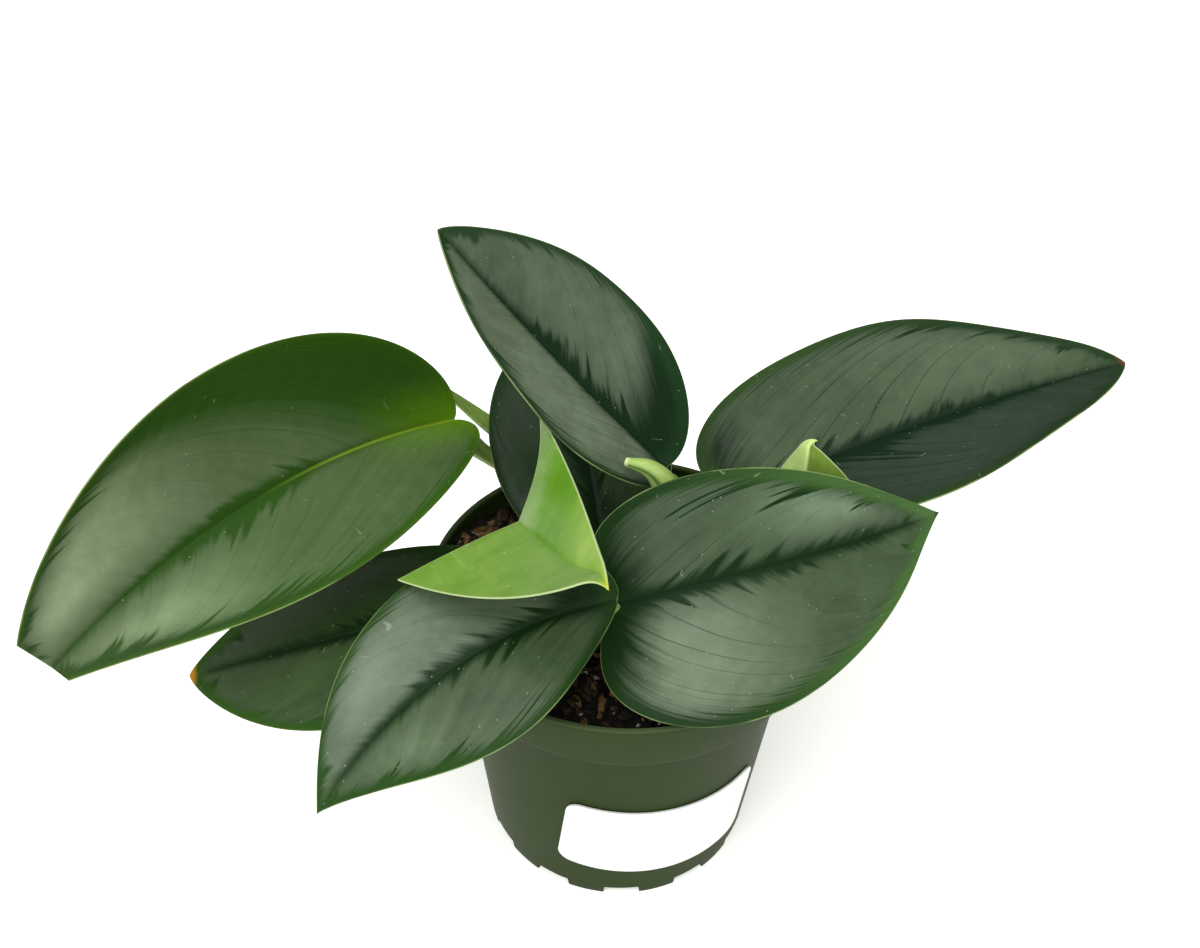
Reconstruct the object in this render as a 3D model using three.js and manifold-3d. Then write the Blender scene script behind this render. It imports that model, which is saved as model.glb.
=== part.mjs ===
// A moonlight scindapsus in its nursery pot: seven grown leaves, three young ones, five shoots,
// potting soil and a plain blank label. Millimetres and degrees, +Z up.
// The origin is the middle of the pot's underside. -Y is the pot's front, where the label is.
import * as THREE from "three";
import { mergeVertices } from "three/addons/utils/BufferGeometryUtils.js";
import Module from "manifold-3d";

const wasm = await Module();
wasm.setup();

// Clearance between pieces that touch.
const GAP = 0.3;

// Pot: a conical wall on a notched foot ring, with a wider band at the rim.
const POT_HEIGHT = 86.5;
const POT_BOTTOM_RADIUS = 39;
const POT_TOP_RADIUS = 52;
const BAND_BOTTOM_Z = 72;
const BAND_BOTTOM_RADIUS = 50;
const BAND_STEP_Z = 68.5;
const WALL_TOP_RADIUS = 45.6;
const WALL_THICKNESS = 1.4;
const LIP_THICKNESS = 1.9;
const LIP_BEVEL = 0.6;
// The inside widens from the wall up to this height, then runs straight up to the lip.
const INNER_BEND_Z = 79.7;
const FOOT_HEIGHT = 3;
const FOOT_RING_WIDTH = 2.2;
const FOOT_DRAFT = 0.4;
const FLOOR_THICKNESS = 1.8;
const CENTRE_PAD_RADIUS = 9;
const CENTRE_PAD_DRAFT = 1;
const NOTCH_COUNT = 12;
const NOTCH_WIDTH = 10;
const NOTCH_REACH = 8;
const NOTCH_TURN = 4;
const DRAIN_COUNT = 6;
const DRAIN_WIDTH = 6;
const DRAIN_INNER_RADIUS = 22;
const DRAIN_OUTER_RADIUS = 32;
const POT_SIDES = 72;

// Label: a blank paper rectangle with round corners, wrapped round the wall.
const LABEL_WIDTH = 56;
const LABEL_HEIGHT = 30;
const LABEL_CORNER = 4;
const LABEL_THICKNESS = 0.5;
const LABEL_CLEARANCE = 0.25;
const LABEL_CENTRE_ANGLE = -71;
const LABEL_CENTRE_Z = 28;
const LABEL_TILT = -4.5;
const LABEL_COLUMNS = 20;
const LABEL_ROWS = 2;

// Soil: filled to just under the rim, with a lumpy top.
const SOIL_TOP_Z = 79.5;
const SOIL_EDGE_Z = 77;
const SOIL_LUMP = 0.7;
const SOIL_MOUND = 1.2;
const SOIL_RINGS = 10;
const HOLE_SIDES = 10;

// Stems: each shoot's stem goes down into the soil, and its leaf stalks rise from it.
const STEM_RADIUS = 3.4;
const STEM_BOTTOM_Z = 40;
const STEM_TOP_Z = 85;
const STALK_RADIUS = 1.7;
const STALK_FOOT_RADIUS = 2.2;
const STALK_FOOT_DEPTH = 2.4;
const KNUCKLE_RADIUS = 2.1;
const TUBE_SIDES = 10;
const STALK_STEPS = 12;
const SHEATH_ROWS = 16;
const SHEATH_COLUMNS = [-1, -0.5, 0, 0.5, 1];

// Leaf blades.
const BLADE_THICKNESS = 0.8;
const MIDRIB_DEPTH = 1.4;
const LOBE_PEAK = 0.06;
const EAR_FADE = 3.3;
const HOOK_START = 0.86;
const MIDRIB_STEPS = 240;
const BLADE_ROWS = 20;
const BLADE_COLUMNS = [-1, -0.72, -0.4, -0.12, 0, 0.12, 0.4, 0.72, 1];
// How strongly the rows of a blade crowd towards its base and its tip, from 0 to 1.
const BASE_CROWDING = 0.85;
const TIP_CROWDING = 0.4;
// Edges shorter than this are closed up after pieces are joined or cut.
const SLIVER = 0.01;

// Each blade starts at its joint and runs along a midrib that leaves in a heading (seen from above,
// counter-clockwise from +X) at a climb above level. Swerve is how far the heading has turned by the
// tip, droop how far the climb has fallen. Roll tips the blade about its midrib with the left side up,
// and twist adds to it by the tip. In each pair the left half comes first. Widths are half-widths,
// shoulders and tapers shape the outline before and after its widest place, and lobes are how far the
// base sweeps back behind the joint. A shoulder of 0 makes an eared blade, widest at a pointed base.
// Fold lifts each half off the midrib and curl changes that by the margin. Hook bends the last part of
// the tip down, and kept is the share of the blade that is there where its tip is cut off.
const LEAVES = {
  leaf_left: {
    joint: [-48.5, 31.9, 112.4], heading: 225.5, swerve: 9.3, climb: 16, droop: 42.3, roll: -36,
    twist: -25.4, length: 127, widths: [30.5, 34.7], shoulders: [0.84, 0.64], tapers: [1.2, 0.73],
    lobes: [7.9, 3.6], fold: 20.4, curl: 21, kept: 0.935, wave: 0.5,
  },
  leaf_top: {
    joint: [9.5, 11, 115], heading: 165.5, swerve: 10.5, climb: 41, droop: -10.5, roll: -18.5, twist: -3.5,
    length: 82.5, widths: [21.5, 26], shoulders: [0.57, 0.57], tapers: [0.8, 0.8], lobes: [3, 2.5],
    fold: 14, curl: 6, wave: 0.4,
  },
  leaf_right: {
    joint: [27, 25.5, 94], heading: 19.5, swerve: -2.5, climb: 17, droop: 9.5, roll: 13, twist: -8,
    length: 123, widths: [35, 31.5], shoulders: [0.51, 0.51], tapers: [0.81, 0.81], lobes: [7, 8],
    fold: 13.5, curl: 6, wave: 1,
  },
  leaf_front_right: {
    joint: [-3.3, -26, 101], heading: 3.2, swerve: 39.7, climb: 18.7, droop: 32.7, roll: 43.8, twist: 5.4,
    length: 94.7, widths: [25.9, 33.4], shoulders: [0.46, 0.49], tapers: [1.17, 1.22], lobes: [4.6, 8.2],
    fold: 12, curl: 0.7, wave: 0.6,
  },
  leaf_front_left: {
    joint: [-1.7, -33, 110], heading: 195, swerve: 32.8, climb: -2.3, droop: 42.7, roll: -15, twist: -9,
    length: 84.5, widths: [22.3, 23.8], shoulders: [0.89, 0.69], tapers: [1.19, 1.1], lobes: [1, 2.9],
    fold: 6.9, curl: -7.8, wave: 0.4,
  },
  leaf_low_left: {
    joint: [-23, -6.5, 91], heading: 210, swerve: -22.5, climb: -0.5, droop: 14, roll: 1.5, twist: -18,
    length: 89.5, widths: [27.5, 24], shoulders: [0.66, 0.66], tapers: [0.8, 0.8], lobes: [4, 4],
    fold: 7, curl: -12, wave: 0.4,
  },
  leaf_back: {
    joint: [-6.5, 14, 85], heading: 108, swerve: -12, climb: 45, droop: 49, roll: -3.5, twist: 1,
    length: 86, widths: [26.5, 24.5], shoulders: [0.56, 0.56], tapers: [0.94, 0.94], lobes: [4, 4],
    fold: 6, curl: -5, wave: 0.4,
  },
  young_leaf_open: {
    joint: [-25.5, -17.5, 119], heading: 293, swerve: -7.5, climb: 23.5, droop: -19.3, roll: 35.5,
    twist: 11.7, length: 80.7, widths: [24.7, 30.9], shoulders: [0, 0], tapers: [1, 1], lobes: [20, 1.2],
    fold: 25.4, curl: -9, hook: 47, wave: 0,
  },
  young_leaf_hooked: {
    joint: [40.4, 2.3, 100.2], heading: -9.5, swerve: -0.5, climb: 77.7, droop: -17, roll: -80,
    twist: -11.5, length: 33.2, widths: [16.9, 7.9], shoulders: [0.55, 0.55], tapers: [1.35, 1.02],
    lobes: [2, 2], fold: 13, curl: -3, hook: 95, wave: 0,
  },
};

// The tightly rolled newest leaf: a tapering horn along a route, bent over at its tip.
const ROLLED_LEAF_ROUTE = [
  [3.4, 5.4, 83],
  [8, 1, 94],
  [10, -2, 110],
  [9, -2.5, 119],
  [5, -2, 124],
  [-1, 0, 124.5],
];
const ROLLED_LEAF_RADII = [1.4, 2, 2.8, 3.3, 3, 1.1];
const ROLLED_LEAF_STEPS = 20;

// Shoots: where each stem stands, and the route of each leaf stalk from the stem to its leaf's joint.
// Girth is a stalk's thickness as a share of the usual one.
const SHOOTS = {
  shoot_left: {
    root: [-11, 34],
    stalks: [{ leaf: "leaf_left", through: [[-27, 37, 88], [-42, 36.5, 98]], girth: 1.45 }],
    sheaths: [
      {
        joint: [-14, 38, 81.5], heading: 178, swerve: -14, climb: 36, droop: -6, roll: 0, twist: 0,
        length: 55, widths: [5.5, 5.5], shoulders: [0.2, 0.2], tapers: [0.7, 0.7], lobes: [0, 0],
        fold: 38, curl: 10, hook: -45, wave: 0,
      },
    ],
  },
  shoot_middle: {
    root: [0, 8],
    stalks: [
      { leaf: "leaf_top", through: [[7, 11, 93], [12, 14, 106]], girth: 1 },
      { leaf: "leaf_back", through: [[-4, 12.6, 81.9]], girth: 0.65 },
    ],
    sheaths: [],
  },
  shoot_right: {
    root: [21, 14],
    stalks: [
      { leaf: "leaf_right", through: [[22, 20, 86.5]], girth: 0.9 },
      { leaf: "young_leaf_hooked", through: [[25, 9, 88], [33, 5, 94.5]], girth: 0.7 },
    ],
    sheaths: [],
  },
  shoot_front: {
    root: [-7, -17],
    stalks: [
      { leaf: "leaf_front_right", through: [[-6.5, -21, 92]], girth: 1 },
      { leaf: "leaf_front_left", through: [[-11, -24, 93], [-7, -31.5, 100.5]], girth: 0.85 },
    ],
    sheaths: [],
  },
  shoot_low_left: {
    root: [-14, -6],
    stalks: [
      { leaf: "leaf_low_left", through: [[-18, -6, 87]], girth: 1 },
      { leaf: "young_leaf_open", through: [[-14.5, -9, 98], [-20, -13, 112]], girth: 1 },
    ],
    sheaths: [],
  },
};

const COLOURS = {
  pot: 0x4b5a3c,
  label: 0xf4f5f2,
  soil: 0x2a1d16,
  stem: 0x6f8f3a,
  grown_leaf: 0x3d5a40,
  young_leaf: 0x86b53a,
};

const radians = THREE.MathUtils.degToRad;

function material(colour, roughness) {
  return new THREE.MeshStandardMaterial({ color: colour, roughness, metalness: 0 });
}

// A geometry with only positions, shared vertices merged and collapsed triangles dropped.
function welded(geometry) {
  const bare = new THREE.BufferGeometry().setAttribute("position", geometry.getAttribute("position"));
  bare.setIndex(geometry.index);
  const merged = mergeVertices(bare, 1e-4);
  const kept = [];
  for (let i = 0; i < merged.index.count; i += 3) {
    const corners = [0, 1, 2].map((k) => merged.index.getX(i + k));
    if (new Set(corners).size === 3) {
      kept.push(...corners);
    }
  }
  merged.setIndex(kept);
  return merged;
}

function solidFrom(geometry) {
  const mesh = welded(geometry);
  return new wasm.Manifold(
    new wasm.Mesh({
      numProp: 3,
      vertProperties: new Float32Array(mesh.getAttribute("position").array),
      triVerts: new Uint32Array(mesh.index.array),
    }),
  );
}

function geometryFrom(solid) {
  const mesh = solid.simplify(SLIVER).getMesh();
  const geometry = new THREE.BufferGeometry();
  geometry.setAttribute("position", new THREE.BufferAttribute(mesh.vertProperties, 3));
  geometry.setIndex(new THREE.BufferAttribute(mesh.triVerts, 1));
  return geometry;
}

function geometryFromTriangles(positions, triangles) {
  const geometry = new THREE.BufferGeometry();
  geometry.setAttribute("position", new THREE.Float32BufferAttribute(positions.flat(), 3));
  geometry.setIndex(triangles.flat());
  return geometry;
}

// A closed sheet between two grids of points of one shape, the upper one and the lower one. Both faces
// are split into triangles alike, and a wall closes the four edges.
function closedSheet(upper, lower) {
  const rows = upper.length;
  const columns = upper[0].length;
  const positions = [...upper.flat(), ...lower.flat()];
  const top = (i, j) => i * columns + j;
  const bottom = (i, j) => rows * columns + i * columns + j;
  const triangles = [];
  for (let i = 0; i + 1 < rows; i++) {
    for (let j = 0; j + 1 < columns; j++) {
      triangles.push([top(i, j), top(i + 1, j), top(i + 1, j + 1)]);
      triangles.push([top(i, j), top(i + 1, j + 1), top(i, j + 1)]);
      triangles.push([bottom(i, j), bottom(i + 1, j + 1), bottom(i + 1, j)]);
      triangles.push([bottom(i, j), bottom(i, j + 1), bottom(i + 1, j + 1)]);
    }
  }
  const rim = [];
  for (let i = 0; i + 1 < rows; i++) {
    rim.push([i, 0, i + 1, 0]);
    rim.push([i + 1, columns - 1, i, columns - 1]);
  }
  for (let j = 0; j + 1 < columns; j++) {
    rim.push([0, j + 1, 0, j]);
    rim.push([rows - 1, j, rows - 1, j + 1]);
  }
  for (const [i0, j0, i1, j1] of rim) {
    triangles.push([top(i0, j0), bottom(i0, j0), bottom(i1, j1)]);
    triangles.push([top(i0, j0), bottom(i1, j1), top(i1, j1)]);
  }
  return geometryFromTriangles(positions, triangles);
}

// Points and axes along a leaf's midrib: forward along it, side to its left and up out of its face.
function midribFrames(leaf) {
  const direction = (share) => {
    const heading = radians(leaf.heading + leaf.swerve * share);
    const bent = Math.max(0, (share - HOOK_START) / (1 - HOOK_START)) ** 2;
    const climb = radians(leaf.climb - leaf.droop * share - (leaf.hook ?? 0) * bent);
    const forward = new THREE.Vector3(
      Math.cos(heading) * Math.cos(climb),
      Math.sin(heading) * Math.cos(climb),
      Math.sin(climb),
    );
    const level = new THREE.Vector3(-Math.sin(heading), Math.cos(heading), 0);
    return { forward, level };
  };
  const point = new THREE.Vector3(...leaf.joint);
  const frames = [];
  for (let i = 0; i <= MIDRIB_STEPS; i++) {
    const share = i / MIDRIB_STEPS;
    const { forward, level } = direction(share);
    if (i > 0) {
      const halfStep = leaf.length / MIDRIB_STEPS / 2;
      point.addScaledVector(frames[i - 1].forward, halfStep).addScaledVector(forward, halfStep);
    }
    const roll = radians(leaf.roll + leaf.twist * share);
    const raised = new THREE.Vector3().crossVectors(forward, level);
    const side = level.clone().multiplyScalar(Math.cos(roll)).addScaledVector(raised, Math.sin(roll));
    const up = new THREE.Vector3().crossVectors(forward, side);
    frames.push({ share, point: point.clone(), forward, side, up });
  }
  return frames;
}

// Half-width along the blade as a share of the greatest: a power rise from the joint, then a power fall.
function outlineShare(shoulder, taper, share) {
  if (shoulder === 0) {
    return (1 - share) ** taper;
  }
  const widest = shoulder / (shoulder + taper);
  return (share / widest) ** shoulder * ((1 - share) / (1 - widest)) ** taper;
}

// How far a place sweeps back, as a share of the lobe. A round lobe rises fast behind the joint and
// fades out, and a pointed ear is there from the first row.
function lobeShare(eared, share, across) {
  if (eared) {
    return (1 - share) ** EAR_FADE * across ** 3;
  }
  return Math.sqrt(share / LOBE_PEAK) * Math.exp((1 - share / LOBE_PEAK) / 2) * across ** 2;
}

// Rows of points of a leaf's upper and lower face. Across a half, the direction of the surface turns
// evenly from fold at the midrib to fold + curl at the margin.
function bladeRows(leaf, columns, rowCount, ribDepth) {
  const frames = midribFrames(leaf);
  const kept = leaf.kept ?? 1;
  const upper = [];
  const lower = [];
  for (let i = 0; i <= rowCount; i++) {
    const step = i / rowCount;
    const crowding = step < 0.5 ? BASE_CROWDING : TIP_CROWDING;
    const share = (step - (crowding * Math.sin(2 * Math.PI * step)) / (2 * Math.PI)) * kept;
    const frame = frames[Math.round(share * MIDRIB_STEPS)];
    const eared = leaf.shoulders[0] === 0;
    const upperRow = [];
    const lowerRow = [];
    for (const column of columns) {
      const across = Math.abs(column);
      const hand = Math.sign(column);
      const half = hand > 0 ? 0 : 1;
      const outline = outlineShare(leaf.shoulders[half], leaf.tapers[half], frame.share);
      const pinched = outline === 0;
      const width = outline * leaf.widths[half] * across;
      const lobe = pinched ? 0 : leaf.lobes[half] * lobeShare(eared, frame.share, across);
      const chord = radians(leaf.fold + (leaf.curl * across) / 2);
      const onMidrib = across === 0 || pinched;
      const slope = onMidrib ? 0 : radians(leaf.fold + leaf.curl * across);
      const wave =
        leaf.wave * across ** 2 * Math.sin(4 * Math.PI * frame.share + hand) * Math.min(1, width / 10);
      const face = frame.point
        .clone()
        .addScaledVector(frame.side, hand * width * Math.cos(chord))
        .addScaledVector(frame.up, width * Math.sin(chord) + wave)
        .addScaledVector(frame.forward, -lobe);
      const rib = onMidrib ? ribDepth * (1 - frame.share) : 0;
      const depth = BLADE_THICKNESS + rib;
      const under = face
        .clone()
        .addScaledVector(frame.up, -depth * Math.cos(slope))
        .addScaledVector(frame.side, hand * depth * Math.sin(slope));
      upperRow.push(face.toArray());
      lowerRow.push(under.toArray());
    }
    upper.push(upperRow);
    lower.push(lowerRow);
  }
  return { upper, lower };
}

function blade(leaf) {
  const { upper, lower } = bladeRows(leaf, BLADE_COLUMNS, BLADE_ROWS, MIDRIB_DEPTH);
  return geometryFrom(solidFrom(closedSheet(upper, lower)));
}

// A lathe of the given radii bent along a curve, so that it is closed at both ends.
function bentLathe(curve, radii, steps) {
  const profile = [new THREE.Vector2(0, 0)];
  for (let i = 0; i <= steps; i++) {
    const place = (i / steps) * (radii.length - 1);
    const from = Math.min(Math.floor(place), radii.length - 2);
    const radius = THREE.MathUtils.lerp(radii[from], radii[from + 1], place - from);
    profile.push(new THREE.Vector2(radius, i / steps));
  }
  profile.push(new THREE.Vector2(0, 1));
  const geometry = new THREE.LatheGeometry(profile, TUBE_SIDES);
  const frames = curve.computeFrenetFrames(steps, false);
  const places = geometry.getAttribute("position");
  const place = new THREE.Vector3();
  for (let i = 0; i < places.count; i++) {
    place.fromBufferAttribute(places, i);
    const step = Math.round(place.y * steps);
    const bent = curve
      .getPointAt(step / steps)
      .addScaledVector(frames.normals[step], place.z)
      .addScaledVector(frames.binormals[step], place.x);
    places.setXYZ(i, bent.x, bent.y, bent.z);
  }
  return geometry;
}

function curveThrough(points) {
  return new THREE.CatmullRomCurve3(points.map((p) => new THREE.Vector3(...p)));
}

// A stalk from the middle of its stem to just under its leaf's joint, where it thickens to a knuckle.
function stalk(root, { leaf, through, girth }) {
  const joint = new THREE.Vector3(...LEAVES[leaf].joint);
  const [{ forward, up }] = midribFrames(LEAVES[leaf]);
  const drop = BLADE_THICKNESS + MIDRIB_DEPTH + 2.5 * GAP;
  const end = joint.addScaledVector(forward, -2 * GAP).addScaledVector(up, -drop);
  const curve = curveThrough([[...root, STEM_TOP_Z - STALK_FOOT_DEPTH], ...through, end.toArray()]);
  const radii = [
    STALK_FOOT_RADIUS,
    STALK_RADIUS * 1.15,
    STALK_RADIUS,
    STALK_RADIUS,
    STALK_RADIUS,
    KNUCKLE_RADIUS,
    KNUCKLE_RADIUS * 0.4,
  ];
  return bentLathe(
    curve,
    radii.map((radius) => radius * girth),
    STALK_STEPS,
  );
}

function shootGeometry({ root, stalks, sheaths }) {
  const [x, y] = root;
  const stemHeight = STEM_TOP_Z - STEM_BOTTOM_Z;
  const rod = new THREE.CylinderGeometry(STEM_RADIUS * 0.85, STEM_RADIUS, stemHeight, HOLE_SIDES);
  rod.rotateX(Math.PI / 2);
  rod.translate(x, y, (STEM_TOP_Z + STEM_BOTTOM_Z) / 2);
  let solid = solidFrom(rod);
  for (const one of stalks) {
    solid = solid.add(solidFrom(stalk(root, one)));
  }
  for (const sheath of sheaths) {
    const { upper, lower } = bladeRows(sheath, SHEATH_COLUMNS, SHEATH_ROWS, 0);
    solid = solid.add(solidFrom(closedSheet(upper, lower)));
  }
  return geometryFrom(solid);
}

function wallRadius(z) {
  return THREE.MathUtils.lerp(POT_BOTTOM_RADIUS, WALL_TOP_RADIUS, z / BAND_BOTTOM_Z);
}

function lathe(profile) {
  const geometry = new THREE.LatheGeometry(
    profile.map(([radius, z]) => new THREE.Vector2(radius, z)),
    POT_SIDES,
  );
  geometry.rotateX(Math.PI / 2);
  return geometry;
}

// Inner radius of the pot at a height above its floor.
function innerRadius(z) {
  if (z <= BAND_STEP_Z) {
    return wallRadius(z) - WALL_THICKNESS;
  }
  return THREE.MathUtils.lerp(
    wallRadius(BAND_STEP_Z) - WALL_THICKNESS,
    POT_TOP_RADIUS - LIP_THICKNESS,
    Math.min(1, (z - BAND_STEP_Z) / (INNER_BEND_Z - BAND_STEP_Z)),
  );
}

function potGeometry() {
  const floorTop = FOOT_HEIGHT + FLOOR_THICKNESS;
  const shell = solidFrom(
    lathe([
      [0, 0],
      [CENTRE_PAD_RADIUS, 0],
      [CENTRE_PAD_RADIUS + CENTRE_PAD_DRAFT, FOOT_HEIGHT],
      [POT_BOTTOM_RADIUS - FOOT_RING_WIDTH - FOOT_DRAFT, FOOT_HEIGHT],
      [POT_BOTTOM_RADIUS - FOOT_RING_WIDTH, 0],
      [POT_BOTTOM_RADIUS, 0],
      [wallRadius(BAND_STEP_Z), BAND_STEP_Z],
      [BAND_BOTTOM_RADIUS, BAND_BOTTOM_Z],
      [POT_TOP_RADIUS, POT_HEIGHT - LIP_BEVEL],
      [POT_TOP_RADIUS - LIP_BEVEL, POT_HEIGHT],
      [POT_TOP_RADIUS - LIP_THICKNESS + LIP_BEVEL, POT_HEIGHT],
      [POT_TOP_RADIUS - LIP_THICKNESS, POT_HEIGHT - LIP_BEVEL],
      [innerRadius(INNER_BEND_Z), INNER_BEND_Z],
      [innerRadius(BAND_STEP_Z), BAND_STEP_Z],
      [innerRadius(floorTop), floorTop],
      [0, floorTop],
    ]),
  );
  let solid = shell;
  for (let i = 0; i < NOTCH_COUNT; i++) {
    const notch = new THREE.BoxGeometry(NOTCH_REACH, NOTCH_WIDTH, FOOT_HEIGHT * 2);
    notch.translate(POT_BOTTOM_RADIUS, 0, 0);
    notch.rotateZ((2 * Math.PI * i) / NOTCH_COUNT + radians(NOTCH_TURN));
    solid = solid.subtract(solidFrom(notch));
  }
  for (let i = 0; i < DRAIN_COUNT; i++) {
    const slot = new THREE.BoxGeometry(DRAIN_OUTER_RADIUS - DRAIN_INNER_RADIUS, DRAIN_WIDTH, 20);
    slot.translate((DRAIN_OUTER_RADIUS + DRAIN_INNER_RADIUS) / 2, 0, 0);
    slot.rotateZ((2 * Math.PI * (i + 0.5)) / DRAIN_COUNT);
    solid = solid.subtract(solidFrom(slot));
  }
  return geometryFrom(solid);
}

// A flat label rolled onto the cone of the wall: on the unrolled cone it is a plain rectangle, placed by
// its distance and turn from the cone's apex.
function labelGeometry() {
  const halfWidth = LABEL_WIDTH / 2;
  const halfHeight = LABEL_HEIGHT / 2;
  const tilt = radians(LABEL_TILT);
  const wallSlope = Math.atan((WALL_TOP_RADIUS - POT_BOTTOM_RADIUS) / BAND_BOTTOM_Z);
  const apexDistance = wallRadius(LABEL_CENTRE_Z) / Math.sin(wallSlope);
  const place = (i, j, lift) => {
    const u = -Math.cos((Math.PI * j) / LABEL_COLUMNS) * halfWidth;
    const inCorner = Math.max(0, Math.abs(u) - (halfWidth - LABEL_CORNER));
    const reach = halfHeight - LABEL_CORNER + Math.sqrt(Math.max(0, LABEL_CORNER ** 2 - inCorner ** 2));
    const v = (1 - (2 * i) / LABEL_ROWS) * reach;
    const across = u * Math.cos(tilt) - v * Math.sin(tilt);
    const up = u * Math.sin(tilt) + v * Math.cos(tilt);
    const turn = Math.atan2(across, apexDistance + up);
    const fromApex = Math.hypot(across, apexDistance + up);
    const angle = radians(LABEL_CENTRE_ANGLE) + turn / Math.sin(wallSlope);
    const radius = fromApex * Math.sin(wallSlope) + lift;
    const z = LABEL_CENTRE_Z + (fromApex - apexDistance) * Math.cos(wallSlope);
    return [radius * Math.cos(angle), radius * Math.sin(angle), z];
  };
  const row = (i, lift) => Array.from({ length: LABEL_COLUMNS + 1 }, (_, j) => place(i, j, lift));
  const sheet = (lift) => Array.from({ length: LABEL_ROWS + 1 }, (_, i) => row(i, lift));
  const outer = sheet(LABEL_CLEARANCE + LABEL_THICKNESS);
  const inner = sheet(LABEL_CLEARANCE);
  return geometryFrom(solidFrom(closedSheet(outer, inner)));
}

// Lumps of the soil's surface: three crossing ripples of different lengths.
function soilHeight(x, y) {
  const lumps =
    Math.sin(x * 0.55 + 1.3) * Math.cos(y * 0.48) +
    0.6 * Math.sin(x * 0.31 - y * 0.72) +
    0.4 * Math.cos(x * 0.95 + y * 0.37);
  const mound = SOIL_MOUND * (1 - (x * x + y * y) / POT_TOP_RADIUS ** 2);
  return SOIL_TOP_Z - SOIL_MOUND / 2 + mound + (SOIL_LUMP * lumps) / 2;
}

function soilGeometry() {
  const clear = GAP + 0.1;
  const floorTop = FOOT_HEIGHT + FLOOR_THICKNESS + GAP;
  const sides = POT_SIDES / 2;
  const wallHeights = [SOIL_EDGE_Z, BAND_STEP_Z, floorTop];
  const rings = [];
  for (let i = 1; i <= SOIL_RINGS; i++) {
    rings.push((i / SOIL_RINGS) * (innerRadius(SOIL_EDGE_Z) - clear));
  }
  const angleOf = (k) => (2 * Math.PI * k) / sides;
  const ring = (radius, height) =>
    Array.from({ length: sides }, (_, k) => {
      const x = radius * Math.cos(angleOf(k));
      const y = radius * Math.sin(angleOf(k));
      return [x, y, height ?? soilHeight(x, y)];
    });
  const layers = rings.map((radius) => ring(radius));
  layers.push(...wallHeights.map((z) => ring(innerRadius(z) - clear, z)));
  const positions = [[0, 0, soilHeight(0, 0)], ...layers.flat(), [0, 0, floorTop]];
  const at = (layer, k) => 1 + layer * sides + (k % sides);
  const triangles = [];
  for (let k = 0; k < sides; k++) {
    triangles.push([0, at(0, k), at(0, k + 1)]);
    for (let layer = 0; layer + 1 < layers.length; layer++) {
      triangles.push([at(layer, k), at(layer + 1, k), at(layer + 1, k + 1)]);
      triangles.push([at(layer, k), at(layer + 1, k + 1), at(layer, k + 1)]);
    }
    triangles.push([at(layers.length - 1, k), positions.length - 1, at(layers.length - 1, k + 1)]);
  }
  return geometryFromTriangles(positions, triangles);
}

// The soil with a plain round hole for each stem.
function soilWithHoles() {
  let solid = solidFrom(soilGeometry());
  const depth = SOIL_TOP_Z + 10 - (STEM_BOTTOM_Z - GAP);
  const holeRadius = STEM_RADIUS + GAP * 2;
  for (const { root } of Object.values(SHOOTS)) {
    const hole = new THREE.CylinderGeometry(holeRadius, holeRadius, depth, HOLE_SIDES);
    hole.rotateX(Math.PI / 2);
    hole.translate(root[0], root[1], STEM_BOTTOM_Z - GAP + depth / 2);
    solid = solid.subtract(solidFrom(hole));
  }
  return geometryFrom(solid);
}

function rolledLeaf() {
  const horn = bentLathe(curveThrough(ROLLED_LEAF_ROUTE), ROLLED_LEAF_RADII, ROLLED_LEAF_STEPS);
  return geometryFrom(solidFrom(horn));
}

const plant = new THREE.Group();

function place(name, geometry, colour, roughness) {
  const mesh = new THREE.Mesh(geometry, material(colour, roughness));
  mesh.name = name;
  plant.add(mesh);
}

place("pot", potGeometry(), COLOURS.pot, 0.55);
place("label", labelGeometry(), COLOURS.label, 0.6);
place("soil", soilWithHoles(), COLOURS.soil, 0.95);
for (const [name, shoot] of Object.entries(SHOOTS)) {
  place(name, shootGeometry(shoot), COLOURS.stem, 0.5);
}
for (const [name, leaf] of Object.entries(LEAVES)) {
  const young = name.startsWith("young");
  place(name, blade(leaf), young ? COLOURS.young_leaf : COLOURS.grown_leaf, 0.4);
}
place("young_leaf_rolled", rolledLeaf(), COLOURS.young_leaf, 0.4);

export default plant;
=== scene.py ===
"""Moonlight scindapsus in its nursery pot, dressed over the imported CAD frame.

Every piece is a numpy surface in millimetres in the frame of the CAD, turned into metres when its mesh is made.
"""
import math

import bpy
import mathutils
import numpy as np
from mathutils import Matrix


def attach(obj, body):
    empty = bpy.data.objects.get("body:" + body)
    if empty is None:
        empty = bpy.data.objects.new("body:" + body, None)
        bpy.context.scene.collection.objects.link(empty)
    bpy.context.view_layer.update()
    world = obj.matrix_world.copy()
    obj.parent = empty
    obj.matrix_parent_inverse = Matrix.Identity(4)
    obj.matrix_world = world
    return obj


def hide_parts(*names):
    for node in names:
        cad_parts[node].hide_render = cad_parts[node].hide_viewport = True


bl_info = {
    "name": "Moonlight scindapsus in a nursery pot",
    "version": (1, 0, 0),
    "blender": (4, 5, 0),
    "location": "3D View > Sidebar > Plant",
    "description": "Makes the leaves, shoots, soil, pot and blank label of a potted moonlight scindapsus",
    "category": "Add Mesh",
}

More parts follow.
